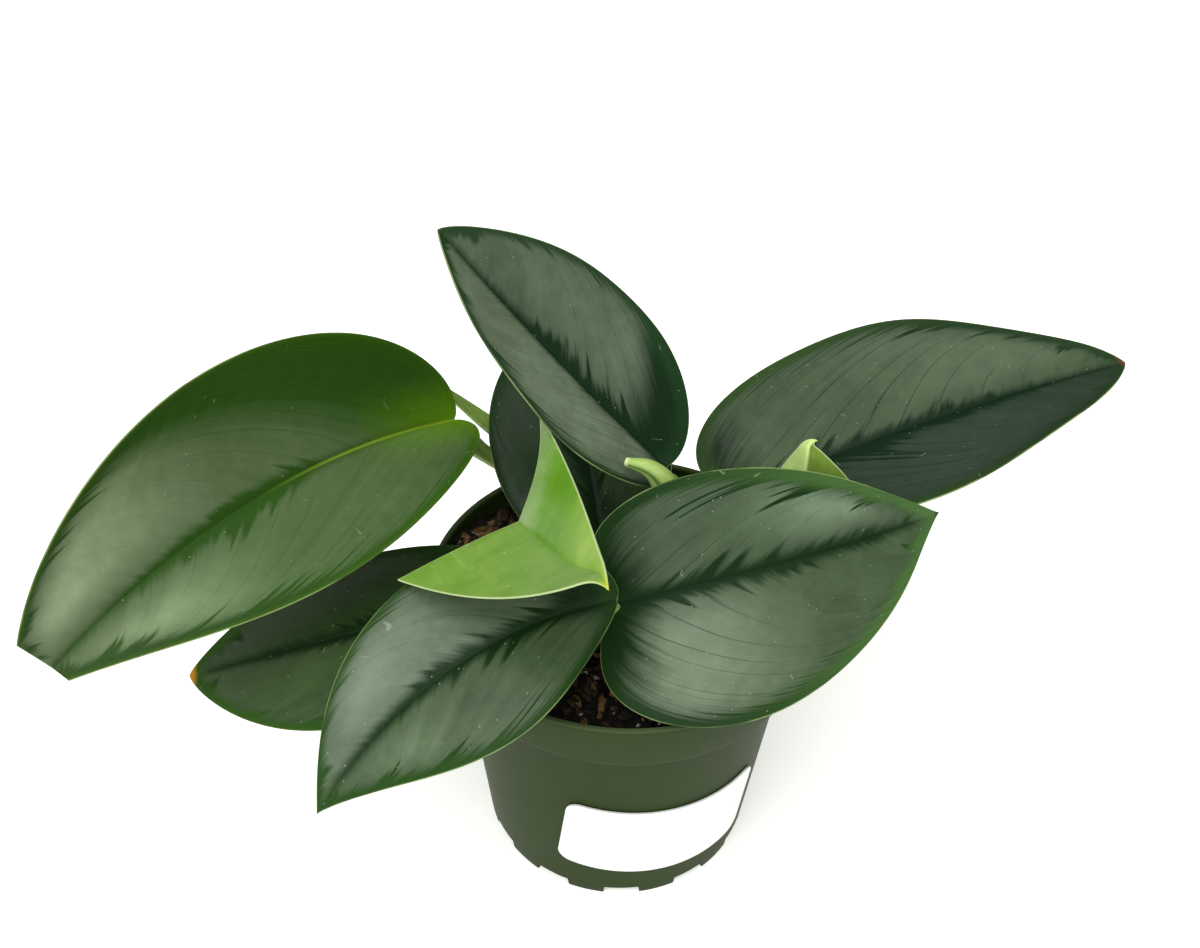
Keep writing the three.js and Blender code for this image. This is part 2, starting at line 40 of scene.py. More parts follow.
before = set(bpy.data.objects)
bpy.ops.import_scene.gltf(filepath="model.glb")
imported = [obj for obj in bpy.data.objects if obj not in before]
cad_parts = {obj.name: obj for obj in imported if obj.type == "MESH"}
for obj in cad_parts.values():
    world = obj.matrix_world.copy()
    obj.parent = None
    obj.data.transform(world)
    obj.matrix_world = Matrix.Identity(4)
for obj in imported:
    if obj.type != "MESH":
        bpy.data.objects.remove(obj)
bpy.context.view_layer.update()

# Lengths are in millimetres and angles in degrees, unless said otherwise. Points nearer than WELD are joined.
MM = 0.001
WELD = 0.0005
BLADE_THICKNESS = 0.8
RIB_DEPTH = 1.4
LOBE_PEAK = 0.06
TIP_SHARE = 0.999
EAR_FADE = 3.3
HOOK_START = 0.86
VEIN_SLANT = 0.45
VEIN_ARCH = 0.22
VEIN_SPACING = 13
HALF_OFFSET = 500
MEAN_BORDER = 3.5
STEM_BOTTOM_Z = 40
STEM_TOP_Z = 85
STALK_FOOT_DEPTH = 2.4
STALK_FOOT_RADIUS = 2.2
STALK_SETBACK = 0.6
KNUCKLE_GAP = 0.75
STALK_ANGLES = np.linspace(0, 2 * np.pi, 33)
WALL_TOP_RADIUS = 45.6
WALL_MIDDLE_Z = 34
BAND_BOTTOM_Z = 72
BAND_STEP_Z = 68.5
INNER_BEND_Z = 79.7
LIP_THICKNESS = 1.9
PAD_RADIUS = 9
FOOT_INNER_RADIUS = 36.8
FOOT_TOP_Z = 3.4
FLOOR_UNDER_Z = 3
FLOOR_TOP_Z = 4.8
NOTCH_PITCH = 30
NOTCH_TURN = 4
NOTCH_HALF = 7.35
HOLE_RADII = (22, 32)
HOLE_PITCH = 60
HOLE_HALF = 6.4
LABEL_CENTRE_ANGLE = -71
LABEL_CENTRE_Z = 28
LABEL_CLEARANCE = 0.25
SOIL_EDGE_Z = 78.5
SOIL_BOTTOM_Z = 5.1
SOIL_GAP = 0.4
GRAIN_ROWS = 5
GRAIN_COLUMNS = 8
STEM_ROOM = 5.5
SURROUND_BRIGHT_SIDE = (-0.2, -0.5, 0.84)

# The photograph's camera: its focal length and picture width in pixels, its place, and its right, up and backward.
FOCAL_LENGTH = 1113.716
PICTURE_WIDTH = 1200
SENSOR_WIDTH = 36
CAMERA_EYE = (0, -216.168, 288.825)
CAMERA_AXES = ((0.998765, 0.046651, 0.017083), (-0.042129, 0.613080, 0.788897), (0.026329, -0.788642, 0.614288))

# Each blade starts at its joint, in millimetres, and runs along its midrib; angles are in degrees. In each pair the
# left half comes first. A shoulder of 0 makes an eared blade, which is widest at a pointed base.
LEAVES = {
    "leaf_left": dict(
        joint=(-48.5, 31.9, 112.4), heading=225.5, swerve=9.3, climb=16, droop=42.3, roll=-36, twist=-25.4,
        length=127, widths=(30.5, 34.7), shoulders=(0.84, 0.64), tapers=(1.2, 0.73), lobes=(7.9, 3.6),
        fold=20.4, curl=21, kept=0.935, wave=0.5,
    ),
    "leaf_top": dict(
        joint=(9.5, 11, 115), heading=165.5, swerve=10.5, climb=41, droop=-10.5, roll=-18.5, twist=-3.5,
        length=82.5, widths=(21.5, 26), shoulders=(0.57, 0.57), tapers=(0.8, 0.8), lobes=(3, 2.5),
        fold=14, curl=6, wave=0.4,
    ),
    "leaf_right": dict(
        joint=(27, 25.5, 94), heading=19.5, swerve=-2.5, climb=17, droop=9.5, roll=13, twist=-8,
        length=123, widths=(35, 31.5), shoulders=(0.51, 0.51), tapers=(0.81, 0.81), lobes=(7, 8),
        fold=13.5, curl=6, wave=1,
    ),
    "leaf_front_right": dict(
        joint=(-3.3, -26, 101), heading=3.2, swerve=39.7, climb=18.7, droop=32.7, roll=43.8, twist=5.4,
        length=94.7, widths=(25.9, 33.4), shoulders=(0.46, 0.49), tapers=(1.17, 1.22), lobes=(4.6, 8.2),
        fold=12, curl=0.7, wave=0.6,
    ),
    "leaf_front_left": dict(
        joint=(-1.7, -33, 110), heading=195, swerve=32.8, climb=-2.3, droop=42.7, roll=-15, twist=-9,
        length=84.5, widths=(22.3, 23.8), shoulders=(0.89, 0.69), tapers=(1.19, 1.1), lobes=(1, 2.9),
        fold=6.9, curl=-7.8, wave=0.4,
    ),
    "leaf_low_left": dict(
        joint=(-23, -6.5, 91), heading=210, swerve=-22.5, climb=-0.5, droop=14, roll=1.5, twist=-18,
        length=89.5, widths=(27.5, 24), shoulders=(0.66, 0.66), tapers=(0.8, 0.8), lobes=(4, 4),
        fold=7, curl=-12, wave=0.4,
    ),
    "leaf_back": dict(
        joint=(-6.5, 14, 85), heading=108, swerve=-12, climb=45, droop=49, roll=-3.5, twist=1,
        length=86, widths=(26.5, 24.5), shoulders=(0.56, 0.56), tapers=(0.94, 0.94), lobes=(4, 4),
        fold=6, curl=-5, wave=0.4,
    ),
    "young_leaf_open": dict(
        joint=(-25.5, -17.5, 119), heading=293, swerve=-7.5, climb=23.5, droop=-19.3, roll=35.5, twist=11.7,
        length=80.7, widths=(24.7, 30.9), shoulders=(0, 0), tapers=(1, 1), lobes=(20, 1.2),
        fold=25.4, curl=-9, hook=47,
    ),
    "young_leaf_hooked": dict(
        joint=(40.4, 2.3, 100.2), heading=-9.5, swerve=-0.5, climb=77.7, droop=-17, roll=-80, twist=-11.5,
        length=33.2, widths=(16.9, 7.9), shoulders=(0.55, 0.55), tapers=(1.35, 1.02), lobes=(2, 2),
        fold=13, curl=-3, hook=95,
    ),
}
PLAIN = dict(swerve=0, droop=0, roll=0, twist=0, lobes=(0, 0), fold=0, curl=0, hook=0, wave=0, kept=1)

SHEATH = dict(
    joint=(-14, 38, 81.5), heading=178, swerve=-14, climb=36, droop=-6, length=55,
    widths=(5.5, 5.5), shoulders=(0.2, 0.2), tapers=(0.7, 0.7), fold=38, curl=10, hook=-45,
)
# Root of each stem, and for each stalk its leaf, the points that it passes and its girth.
SHOOTS = {
    "shoot_left": ((-11, 34), [("leaf_left", [(-27, 37, 88), (-42, 36.5, 98)], 1.45)]),
    "shoot_middle": (
        (0, 8),
        [("leaf_top", [(7, 11, 93), (12, 14, 106)], 1), ("leaf_back", [(-4, 12.6, 81.9)], 0.65)],
    ),
    "shoot_right": (
        (21, 14),
        [("leaf_right", [(22, 20, 86.5)], 0.9), ("young_leaf_hooked", [(25, 9, 88), (33, 5, 94.5)], 0.7)],
    ),
    "shoot_front": (
        (-7, -17),
        [("leaf_front_right", [(-6.5, -21, 92)], 1), ("leaf_front_left", [(-11, -24, 93), (-7, -31.5, 100.5)], 0.85)],
    ),
    "shoot_low_left": (
        (-14, -6),
        [("leaf_low_left", [(-18, -6, 87)], 1), ("young_leaf_open", [(-14.5, -9, 98), (-20, -13, 112)], 1)],
    ),
}
ROLLED_LEAF_ROUTE = [(3.4, 5.4, 83), (8, 1, 94), (10, -2, 110), (9, -2.5, 119), (5, -2, 124), (-1, 0, 124.5)]
ROLLED_LEAF_RADII = [1.4, 2, 2.8, 3.3, 3, 1.1]

# How each grown leaf is marked. In each pair of silver, shine, border, band, fan and swept the left half comes first.
# Silver is the colour of the pale part; where the two halves differ, that is partly painted light and shade, the half
# that faces the light painted lighter and the half turned from it darker, and leaf_back's dark silver is partly
# painted
# shade. Shine is a painted sheen: the share of the blade where that painted highlight is brightest and how much
# lighter it paints the silver there. Green is the colour of the dark part inside and edge that at the outline, near
# the base and near the tip.
# Border and band are the widths in millimetres of the dark outline and of the dark band along the midrib, band_span
# the shares of the blade where the band starts and ends, fan the share that is dark at the base, swept 1 where that
# part ends along the side veins, rib_to the share where the midrib's own colour ends, and veins the strength of the
# dark side veins and the share where they end. Warm is the strength of the yellow-green at the base, and tip a colour
# and a length.
MARKS = {
    "leaf_left": dict(
        # Its left half's silver is partly painted shade, darker than the lit right half.
        silver=((76, 98, 56), (94, 112, 78)), shine=((0.95, 0.95), (0.95, 0.85)),
        green=(44, 78, 22), edge=((48, 84, 16), (42, 70, 24)),
        border=(5, 3.2), band=(3.2, 3.6), band_span=(0.3, 0.85), fan=(0.0, 0.1), swept=(0, 1),
        rib=(122, 150, 40), rib_to=0.5, veins=(0.3, 0.7), warm=1, tip=((80, 90, 40), 0),
    ),
    "leaf_top": dict(
        silver=((104, 119, 94), (80, 95, 73)), shine=((0.4, 0.1), (0.45, 0.12)),
        green=(18, 42, 20), edge=((28, 56, 28), (38, 62, 36)),
        border=(2.6, 2.8), band=(0.3, 2.6), band_span=(-0.2, 0.85), fan=(0.02, 0.14), swept=(0, 0.2),
        rib=(20, 38, 20), rib_to=1, veins=(0.5, 0.5), warm=0, tip=((84, 74, 44), 1),
    ),
    "leaf_right": dict(
        silver=((60, 79, 50), (39, 56, 39)), shine=((0.75, 0.22), (0.6, 0.08)),
        green=(16, 38, 20), edge=((44, 70, 30), (32, 54, 28)),
        border=(5, 3.2), band=(1.8, 4.5), band_span=(-0.1, 0.9), fan=(0.05, 0.14), swept=(0, 0),
        rib=(16, 34, 20), rib_to=1, veins=(0.85, 0.9), warm=0.15, tip=((96, 62, 40), 2.6),
    ),
    "leaf_front_right": dict(
        silver=((66, 85, 59), (68, 87, 58)), shine=((0.75, 0.8), (0.1, 0.5)),
        green=(18, 44, 16), edge=((24, 52, 18), (68, 100, 50)),
        border=(6, 4.4), band=(1.8, 2), band_span=(-0.2, 0.95), fan=(0.06, 0.06), swept=(0, 0),
        rib=(14, 36, 14), rib_to=1, veins=(0.7, 0.45), warm=0, tip=((58, 38, 34), 3),
    ),
    "leaf_front_left": dict(
        silver=((66, 86, 55), (86, 102, 78)), shine=((0.9, 0.45), (0.8, 0.3)),
        green=(18, 44, 16), edge=((30, 60, 20), (38, 68, 24)),
        border=(3.4, 2.4), band=(1.6, 1.8), band_span=(-0.2, 0.88), fan=(0.04, 0.14), swept=(0, 0),
        rib=(20, 42, 18), rib_to=1, veins=(0.25, 0.4), warm=0, tip=((84, 92, 44), 0.8),
    ),
    "leaf_low_left": dict(
        silver=((54, 77, 38), (40, 62, 24)), shine=((0.6, 0.05), (0.6, 0.05)),
        green=(17, 41, 13), edge=((28, 54, 15), (42, 74, 20)),
        border=(3.6, 4), band=(1.8, 2.4), band_span=(-0.2, 0.9), fan=(0.1, 0.24), swept=(0, 0),
        rib=(14, 34, 10), rib_to=1, veins=(0.3, 0.6), warm=0.2, tip=((190, 130, 24), 2.6),
    ),
    "leaf_back": dict(
        # Its dark silver is partly painted shade.
        silver=((26, 48, 20), (40, 62, 30)), shine=((0.5, 0), (0.2, 0.1)),
        green=(15, 36, 13), edge=((20, 42, 15), (26, 50, 20)),
        border=(3, 3), band=(2, 2.4), band_span=(-0.2, 0.9), fan=(0.1, 0.1), swept=(0, 0),
        rib=(14, 32, 12), rib_to=1, veins=(0.1, 0.5), warm=0, tip=((84, 92, 44), 1),
    ),
}
# The greens of the young leaves. Over and under name, for the upper and the lower face, the colours of the left half
# at its base, in its middle and towards its tip, and that of the right half. The paler greens at the base and towards
# the tip of young_leaf_open's left half are partly painted sheen. Rib is the midrib's colour above and below, and tip
# the share where the tip starts to turn yellow.
YOUNG_TINTS = {
    "young_leaf_open": dict(
        over=((138, 170, 100), (94, 148, 2), (150, 188, 66), (116, 156, 54)), under=((92, 122, 52),) * 4,
        rib=((104, 152, 16), (140, 168, 86)), tip=0.94,
    ),
    "young_leaf_hooked": dict(
        over=((120, 160, 60),) * 4, under=((112, 144, 50), (112, 144, 50), (112, 144, 50), (204, 232, 142)),
        rib=((128, 170, 50), (222, 238, 160)), tip=0.95,
    ),
}


def linear(colour):
    """Linear light of a colour given as three numbers from 0 to 255."""
    share = np.asarray(colour, float) / 255
    light = np.where(share <= 0.04045, share / 12.92, ((share + 0.055) / 1.055) ** 2.4)
    return tuple(float(v) for v in light) + (1.0,)


def scaled(colour, gain, lift=0):
    """A linear colour times gain plus lift."""
    return tuple(v * gain + lift for v in colour[:3]) + (1,)


# Shapes
def smooth_step(low, high, value):
    """Rises from 0 at low to 1 at high, as 3x squared less 2x cubed."""
    share = np.clip((value - low) / (high - low), 0, 1)
    return share * share * (3 - 2 * share)


def cells(numbers):
    """Two triangles for each cell of a grid of point numbers, facing along rows cross columns."""
    a, b, c, d = numbers[:-1, :-1], numbers[1:, :-1], numbers[1:, 1:], numbers[:-1, 1:]
    first = np.stack([a, b, c], axis=-1).reshape(-1, 3)
    second = np.stack([a, c, d], axis=-1).reshape(-1, 3)
    return np.concatenate([first, second])


def numbered(points):
    """The number of each point of a grid of points."""
    return np.arange(points.shape[0] * points.shape[1]).reshape(points.shape[:2])


def grid(points):
    """The points of a grid in one list, and the triangles of its cells."""
    return points.reshape(-1, 3), cells(numbered(points))


def round_axis(radius, angle, z):
    """Points at radii, angles and heights round the upright axis."""
    return np.stack(np.broadcast_arrays(radius * np.cos(angle), radius * np.sin(angle), z), axis=-1)


def closed_sheet(top, bottom):
    """Points and triangles of the sheet between two grids: both faces and the four edges."""
    over = numbered(top)
    under = over + over.size
    triangles = np.concatenate([
        cells(over),
        cells(under)[:, ::-1],
        cells(np.stack([under[0], over[0]])),
        cells(np.stack([over[-1], under[-1]])),
        cells(np.stack([under[:, 0], over[:, 0]], axis=1)),
        cells(np.stack([over[:, -1], under[:, -1]], axis=1)),
    ])
    return np.concatenate([top.reshape(-1, 3), bottom.reshape(-1, 3)]), triangles


def joined(parts):
    """One list of points, one of triangles and one of each field from several parts."""
    points, triangles, fields = zip(*parts)
    starts = np.cumsum([0] + [len(part) for part in points])
    triangles = [part + start for part, start in zip(triangles, starts)]
    fields = {name: np.concatenate([part[name] for part in fields]) for name in fields[0]}
    return np.concatenate(points), np.concatenate(triangles), fields


def weld(points, triangles, fields):
    """Joins points that fall together, leaves out triangles that close up, and turns the faces outward.

    Two triangles on the same three points lie back to back and enclose nothing, so both are left out.
    """
    _, first, number = np.unique(np.round(points / WELD), axis=0, return_index=True, return_inverse=True)
    points = points[first]
    triangles = number.ravel()[triangles]
    a, b, c = triangles.T
    triangles = triangles[(a != b) & (b != c) & (c != a)]
    _, one, count = np.unique(np.sort(triangles, axis=1), axis=0, return_index=True, return_counts=True)
    triangles = triangles[np.sort(one[count % 2 == 1])]
    a, b, c = (points[triangles[:, i]] for i in range(3))
    if np.einsum("ij,ij->", a, np.cross(b, c)) < 0:
        triangles = triangles[:, ::-1]
    return points, triangles, {name: field[first] for name, field in fields.items()}


def make_piece(name, points, triangles, finish, slot=None, replaces=(), fields=None, crease=None):
    """A mesh object in metres that rides on the part's one body, or stands on the stage if it has no slot."""
    points, triangles, fields = weld(points, triangles, fields or {})
    mesh = bpy.data.meshes.new(name)
    mesh.vertices.add(len(points))
    mesh.vertices.foreach_set("co", (points * MM).astype(np.float32).ravel())
    mesh.loops.add(triangles.size)
    mesh.loops.foreach_set("vertex_index", triangles.astype(np.int32).ravel())
    mesh.polygons.add(len(triangles))
    mesh.polygons.foreach_set("loop_start", np.arange(0, triangles.size, 3, dtype=np.int32))
    mesh.update(calc_edges=True)
    mesh.validate()
    mesh.shade_smooth()
    if crease is not None:
        mesh.set_sharp_from_angle(angle=math.radians(crease))
    for field, values in fields.items():
        kind, entry = ("FLOAT", "value") if values.ndim == 1 else ("FLOAT_COLOR", "color")
        mesh.attributes.new(field, kind, "POINT").data.foreach_set(entry, values.astype(np.float32).ravel())
    mesh.materials.append(finish)
    piece = bpy.data.objects.new(name, mesh)
    bpy.context.scene.collection.objects.link(piece)
    if slot is None:
        return
    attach(piece, "root")
    if replaces:
        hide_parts(*replaces)


def path_length(path):
    """Length along a path up to each of its points."""
    return np.concatenate([[0], np.cumsum(np.linalg.norm(np.diff(path, axis=0), axis=1))])


def at_stations(values, count):
    """Values at even stations, as count numbers that go straight from each to the next."""
    return np.interp(np.linspace(0, len(values) - 1, count), np.arange(len(values)), values)


def curve_through(points, count):
    """Evenly spaced points on the centripetal Catmull-Rom curve through the given points."""
    points = np.array(points, float)
    points = np.vstack([2 * points[0] - points[1], points, 2 * points[-1] - points[-2]])
    share = np.linspace(0, 1, 40, endpoint=False)[:, None]
    square, cube = share**2, share**3
    stretches = []
    for p0, p1, p2, p3 in zip(points, points[1:], points[2:], points[3:]):
        before, span, after = (math.sqrt(np.linalg.norm(q - p)) for p, q in ((p0, p1), (p1, p2), (p2, p3)))
        leave = ((p1 - p0) / before - (p2 - p0) / (before + span) + (p2 - p1) / span) * span
        arrive = ((p2 - p1) / span - (p3 - p1) / (span + after) + (p3 - p2) / after) * span
        stretches.append(
            (2 * cube - 3 * square + 1) * p1
            + (cube - 2 * square + share) * leave
            + (3 * square - 2 * cube) * p2
            + (cube - square) * arrive
        )
    path = np.vstack(stretches + [points[-2:-1]])
    run = path_length(path)
    at = np.linspace(0, run[-1], count)
    return np.stack([np.interp(at, run, path[:, axis]) for axis in range(3)], axis=1)


def carried_frames(path, start):
    """Normal and cross direction along a path, with the normal carried on from start without turning."""
    tangents = np.gradient(path, axis=0)
    tangents /= np.linalg.norm(tangents, axis=1, keepdims=True)
    normal = np.array(start, float)
    normals = []
    for tangent in tangents:
        normal = normal - tangent * (normal @ tangent)
        normal = normal / np.linalg.norm(normal)
        normals.append(normal)
    return np.array(normals), np.cross(tangents, normals)


def tube(path, radii, angles, lap, start, turn=0):
    """Points, triangles and fields of a closed tube.

    At each point of the path it has a ring, whose radius times lap reaches out at each angle plus turn, and both ends
    are drawn to a point. Run is the length along the path, and round the sine of the angle.
    """
    normals, crosses = carried_frames(path, start)
    reach, turned = radii[:, None] * lap, angles + turn
    ring = (
        path[:, None]
        + (reach * np.cos(turned))[..., None] * normals[:, None]
        + (reach * np.sin(turned))[..., None] * crosses[:, None]
    )
    ends = [np.repeat(path[end][None, None], len(angles), axis=1) for end in (0, -1)]
    run = path_length(path)
    run = np.concatenate([run[:1], run, run[-1:]])
    fields = {"round": np.tile(np.sin(angles), len(run)), "run": np.repeat(run, len(angles))}
    return (*grid(np.concatenate([ends[0], ring, ends[1]])), fields)


def midrib(leaf):
    """Points and forward, side and up directions along a midrib.

    The direction turns evenly from heading by swerve and from climb down by droop, bends down more near a hooked tip,
    and the blade rolls and twists about it. The points are the running sum of that direction.
    """
    share = np.linspace(0, 1, 401)
    heading = np.radians(leaf["heading"] + leaf["swerve"] * share)
    bend = leaf["hook"] * np.clip((share - HOOK_START) / (1 - HOOK_START), 0, None) ** 2
    climb = np.radians(leaf["climb"] - leaf["droop"] * share - bend)
    forward = np.stack([np.cos(climb) * np.cos(heading), np.cos(climb) * np.sin(heading), np.sin(climb)], axis=1)
    steps = (forward[1:] + forward[:-1]) / 2 * leaf["length"] / (len(share) - 1)
    points = np.array(leaf["joint"], float) + np.vstack([np.zeros(3), np.cumsum(steps, axis=0)])
    level = np.stack([-np.sin(heading), np.cos(heading), np.zeros_like(heading)], axis=1)
    raised = np.cross(forward, level)
    roll = np.radians(leaf["roll"] + leaf["twist"] * share)[:, None]
    side = np.cos(roll) * level + np.sin(roll) * raised
    return share, points, forward, side, np.cross(forward, side)


def along_midrib(leaf, at):
    """The midrib's points and directions at the shares given."""
    share, *tracks = midrib(leaf)
    return [np.stack([np.interp(at, share, track[:, axis]) for axis in range(3)], axis=1) for track in tracks]


def nearest_distance(points, line):
    """Distance from each point to a line of short stretches."""
    start, step = line[:-1], np.diff(line, axis=0)
    square = np.maximum((step**2).sum(axis=1), 1e-9)
    best = np.full(len(points), np.inf)
    for first in range(0, len(points), 2000):
        part = points[first : first + 2000]
        offset = part[:, None] - start[None]
        share = np.clip((offset * step).sum(axis=2) / square, 0, 1)
        gap = offset - share[..., None] * step
        best[first : first + 2000] = np.sqrt((gap**2).sum(axis=2).min(axis=1))
    return best


def blade(
    leaf, rows=132, half_columns=26, thickness=BLADE_THICKNESS, rib_depth=RIB_DEPTH, groove=0.35, quilting=0.22
):
    """Both faces of a leaf blade as one closed sheet, with the fields that its markings use.

    Half-width is the widest times (t/p)^shoulder times ((1-t)/(1-p))^taper with its peak p at
    shoulder/(shoulder+taper), or the widest times (1-t)^taper on an eared blade. Each half rises at its fold angle,
    curls evenly, waves at its margin and sweeps back at the base as a lobe or an ear. The upper face sinks along the
    midrib, the lower one has a rib there that thins to the tip, and both puff up between the side veins. A side vein
    that leaves the midrib at share u has reached share u+(1-u)(as+bss) where it is the share s of the way to the
    margin.
    """
    leaf = {**PLAIN, **leaf}
    step = np.linspace(0, 1, rows)
    crowding = np.where(step < 0.5, 0.85, 0.4)
    share = (step - crowding * np.sin(2 * np.pi * step) / (2 * np.pi)) * leaf["kept"]
    half = (1 - np.cos(np.linspace(0, np.pi, half_columns + 1))) / 2
    across = np.concatenate([-half[:0:-1], half])
    spine, forward, side, up = along_midrib(leaf, share)

    t, v = share[:, None], across[None, :]
    s, hand = np.abs(v), np.sign(v)
    left = hand > 0
    widest, shoulder, taper, lobes = (
        np.where(left, *leaf[pair]) for pair in ("widths", "shoulders", "tapers", "lobes")
    )
    eared = leaf["shoulders"][0] == 0
    if eared:
        width = widest * (1 - t) ** taper * s
        lobe = lobes * (1 - t) ** EAR_FADE * s**3
    else:
        peak = shoulder / (shoulder + taper)
        width = widest * (t / peak) ** shoulder * (np.clip(1 - t, 0, 1) / (1 - peak)) ** taper * s
        lobe = lobes * np.sqrt(t / LOBE_PEAK) * np.exp((1 - t / LOBE_PEAK) / 2) * s**2
        lobe = np.where(t < TIP_SHARE, lobe, 0)

    def moved(amount, direction):
        """A move of each point of the face by an amount along its row's direction."""
        return amount[..., None] * direction[:, None]

    chord = np.radians(leaf["fold"] + leaf["curl"] * s / 2)
    wave = leaf["wave"] * s**2 * np.sin(4 * np.pi * t + hand) * np.clip(width / 10, 0, 1)
    face = spine[:, None] + moved(hand * width * np.cos(chord), side)
    face = face + moved(width * np.sin(chord) + wave, up) - moved(lobe, forward)
    slope = np.radians(leaf["fold"] + leaf["curl"] * s) * smooth_step(0, 2.5, width)
    normal = moved(np.cos(slope), up) - moved(hand * np.sin(slope), side)
    outward = moved(hand * np.cos(slope), side) + moved(np.sin(slope), up)

    flat = face.reshape(-1, 3)
    rim = [face[:, 0], face[::-1, -1]] + [face[0]] * eared
    rib, margin = (nearest_distance(flat, line).reshape(face.shape[:2]) for line in (spine, np.concatenate(rim)))
    sweep = VEIN_SLANT * s + VEIN_ARCH * s**2
    vein = leaf["length"] * (t - sweep) / (1 - sweep) + HALF_OFFSET * left
    puff = quilting * np.abs(np.sin(vein * np.pi / VEIN_SPACING)) ** 0.6
    puff = puff * smooth_step(0, 6, rib) * smooth_step(0, 6, margin)
    sink = groove * np.exp(-((rib / 0.9) ** 2)) * np.sqrt(1 - t) * smooth_step(0, 0.05, t)
    body = thickness * (1 - 0.5 * smooth_step(3, 0, margin))
    bump = rib_depth * (1 - t) * np.exp(-((rib / 1.3) ** 2))
    top = face + (puff - sink)[..., None] * normal
    bottom = face - (body + bump - puff)[..., None] * normal
    edges = []
    for column in (0, -1):
        middle = (top[:, column] + bottom[:, column]) / 2
        bulge = 0.25 * body[:, column, None] * np.clip(width[:, column, None], 0, 1)
        edges.append((middle + outward[:, column] * bulge)[:, None])
    points, triangles = closed_sheet(*(np.concatenate([edges[0], skin, edges[1]], axis=1) for skin in (top, bottom)))

    fields = {"upper": np.repeat([1.0, 0.0], len(points) // 2)}
    for name, field in dict(along=t, rib=rib, margin=margin, vein=vein, left=left.astype(float)).items():
        field = np.broadcast_to(field, face.shape[:2])
        fields[name] = np.tile(np.concatenate([field[:, :1], field, field[:, -1:]], axis=1).ravel(), 2)
    return points, triangles, fields


def ripples(x, y, seed, length, count=9):
    """A smooth random relief from about -1 to 1: the mean of crossing sine waves of about one length."""
    rng = np.random.default_rng(seed)
    total = np.zeros(np.broadcast(x, y).shape)
    for turn, phase, stretch in zip(
        rng.uniform(0, np.pi, count), rng.uniform(0, 2 * np.pi, count), rng.uniform(0.7, 1.5, count)
    ):
        total += np.sin((x * np.cos(turn) + y * np.sin(turn)) * 2 * np.pi / (length * stretch) + phase)
    return total / math.sqrt(count)


def round_profile(corners, radii, steps=5):
    """A profile with each corner cut by an arc-like curve that starts its radius before the corner."""
    corners = np.array(corners, float)
    share = np.linspace(0, 1, steps)[:, None]
    rounded = []
    for i, (corner, radius) in enumerate(zip(corners, radii)):
        if radius == 0:
            rounded.append(corner[None])
            continue
        sides = (corners[i - 1] - corner, corners[i + 1] - corner)
        start, end = (
            corner + side / np.linalg.norm(side) * min(radius, np.linalg.norm(side) * 0.45) for side in sides
        )
        rounded.append((1 - share) ** 2 * start + 2 * share * (1 - share) * corner + share**2 * end)
    return np.concatenate(rounded)


# Finishes
def feed(tree, socket, value):
    """Joins a wire to a socket, or sets a number or colour on it."""
    if isinstance(value, Wire):
        tree.links.new(value.socket, socket)
    else:
        socket.default_value = value


def joining(operation, turned=False):
    """A method that joins a wire and another term by a maths node, with the wire last if turned."""

    def method(self, *others):
        node = self.tree.nodes.new("ShaderNodeMath")
        node.operation = operation
        for socket, term in zip(node.inputs, (*others, self) if turned else (self, *others)):
            feed(self.tree, socket, term)
        return Wire(self.tree, node.outputs[0])

    return method


class Wire:
    """A shader output that can be added, subtracted, multiplied, divided and stepped."""

    def __init__(self, tree, socket):
        self.tree = tree
        self.socket = socket

    __add__, __radd__ = joining("ADD"), joining("ADD", turned=True)
    __sub__, __rsub__ = joining("SUBTRACT"), joining("SUBTRACT", turned=True)
    __mul__, __rmul__ = joining("MULTIPLY"), joining("MULTIPLY", turned=True)
    __truediv__ = joining("DIVIDE")
    absolute = joining("ABSOLUTE")
    fraction = joining("FRACT")

    def step(self, low, high, start=0.0, end=1.0):
        """Goes smoothly from start at low to end at high."""
        node = self.tree.nodes.new("ShaderNodeMapRange")
        node.interpolation_type = "SMOOTHSTEP"
        for socket, value in zip(node.inputs, (self, low, high, start, end)):
            feed(self.tree, socket, value)
        return Wire(self.tree, node.outputs[0])


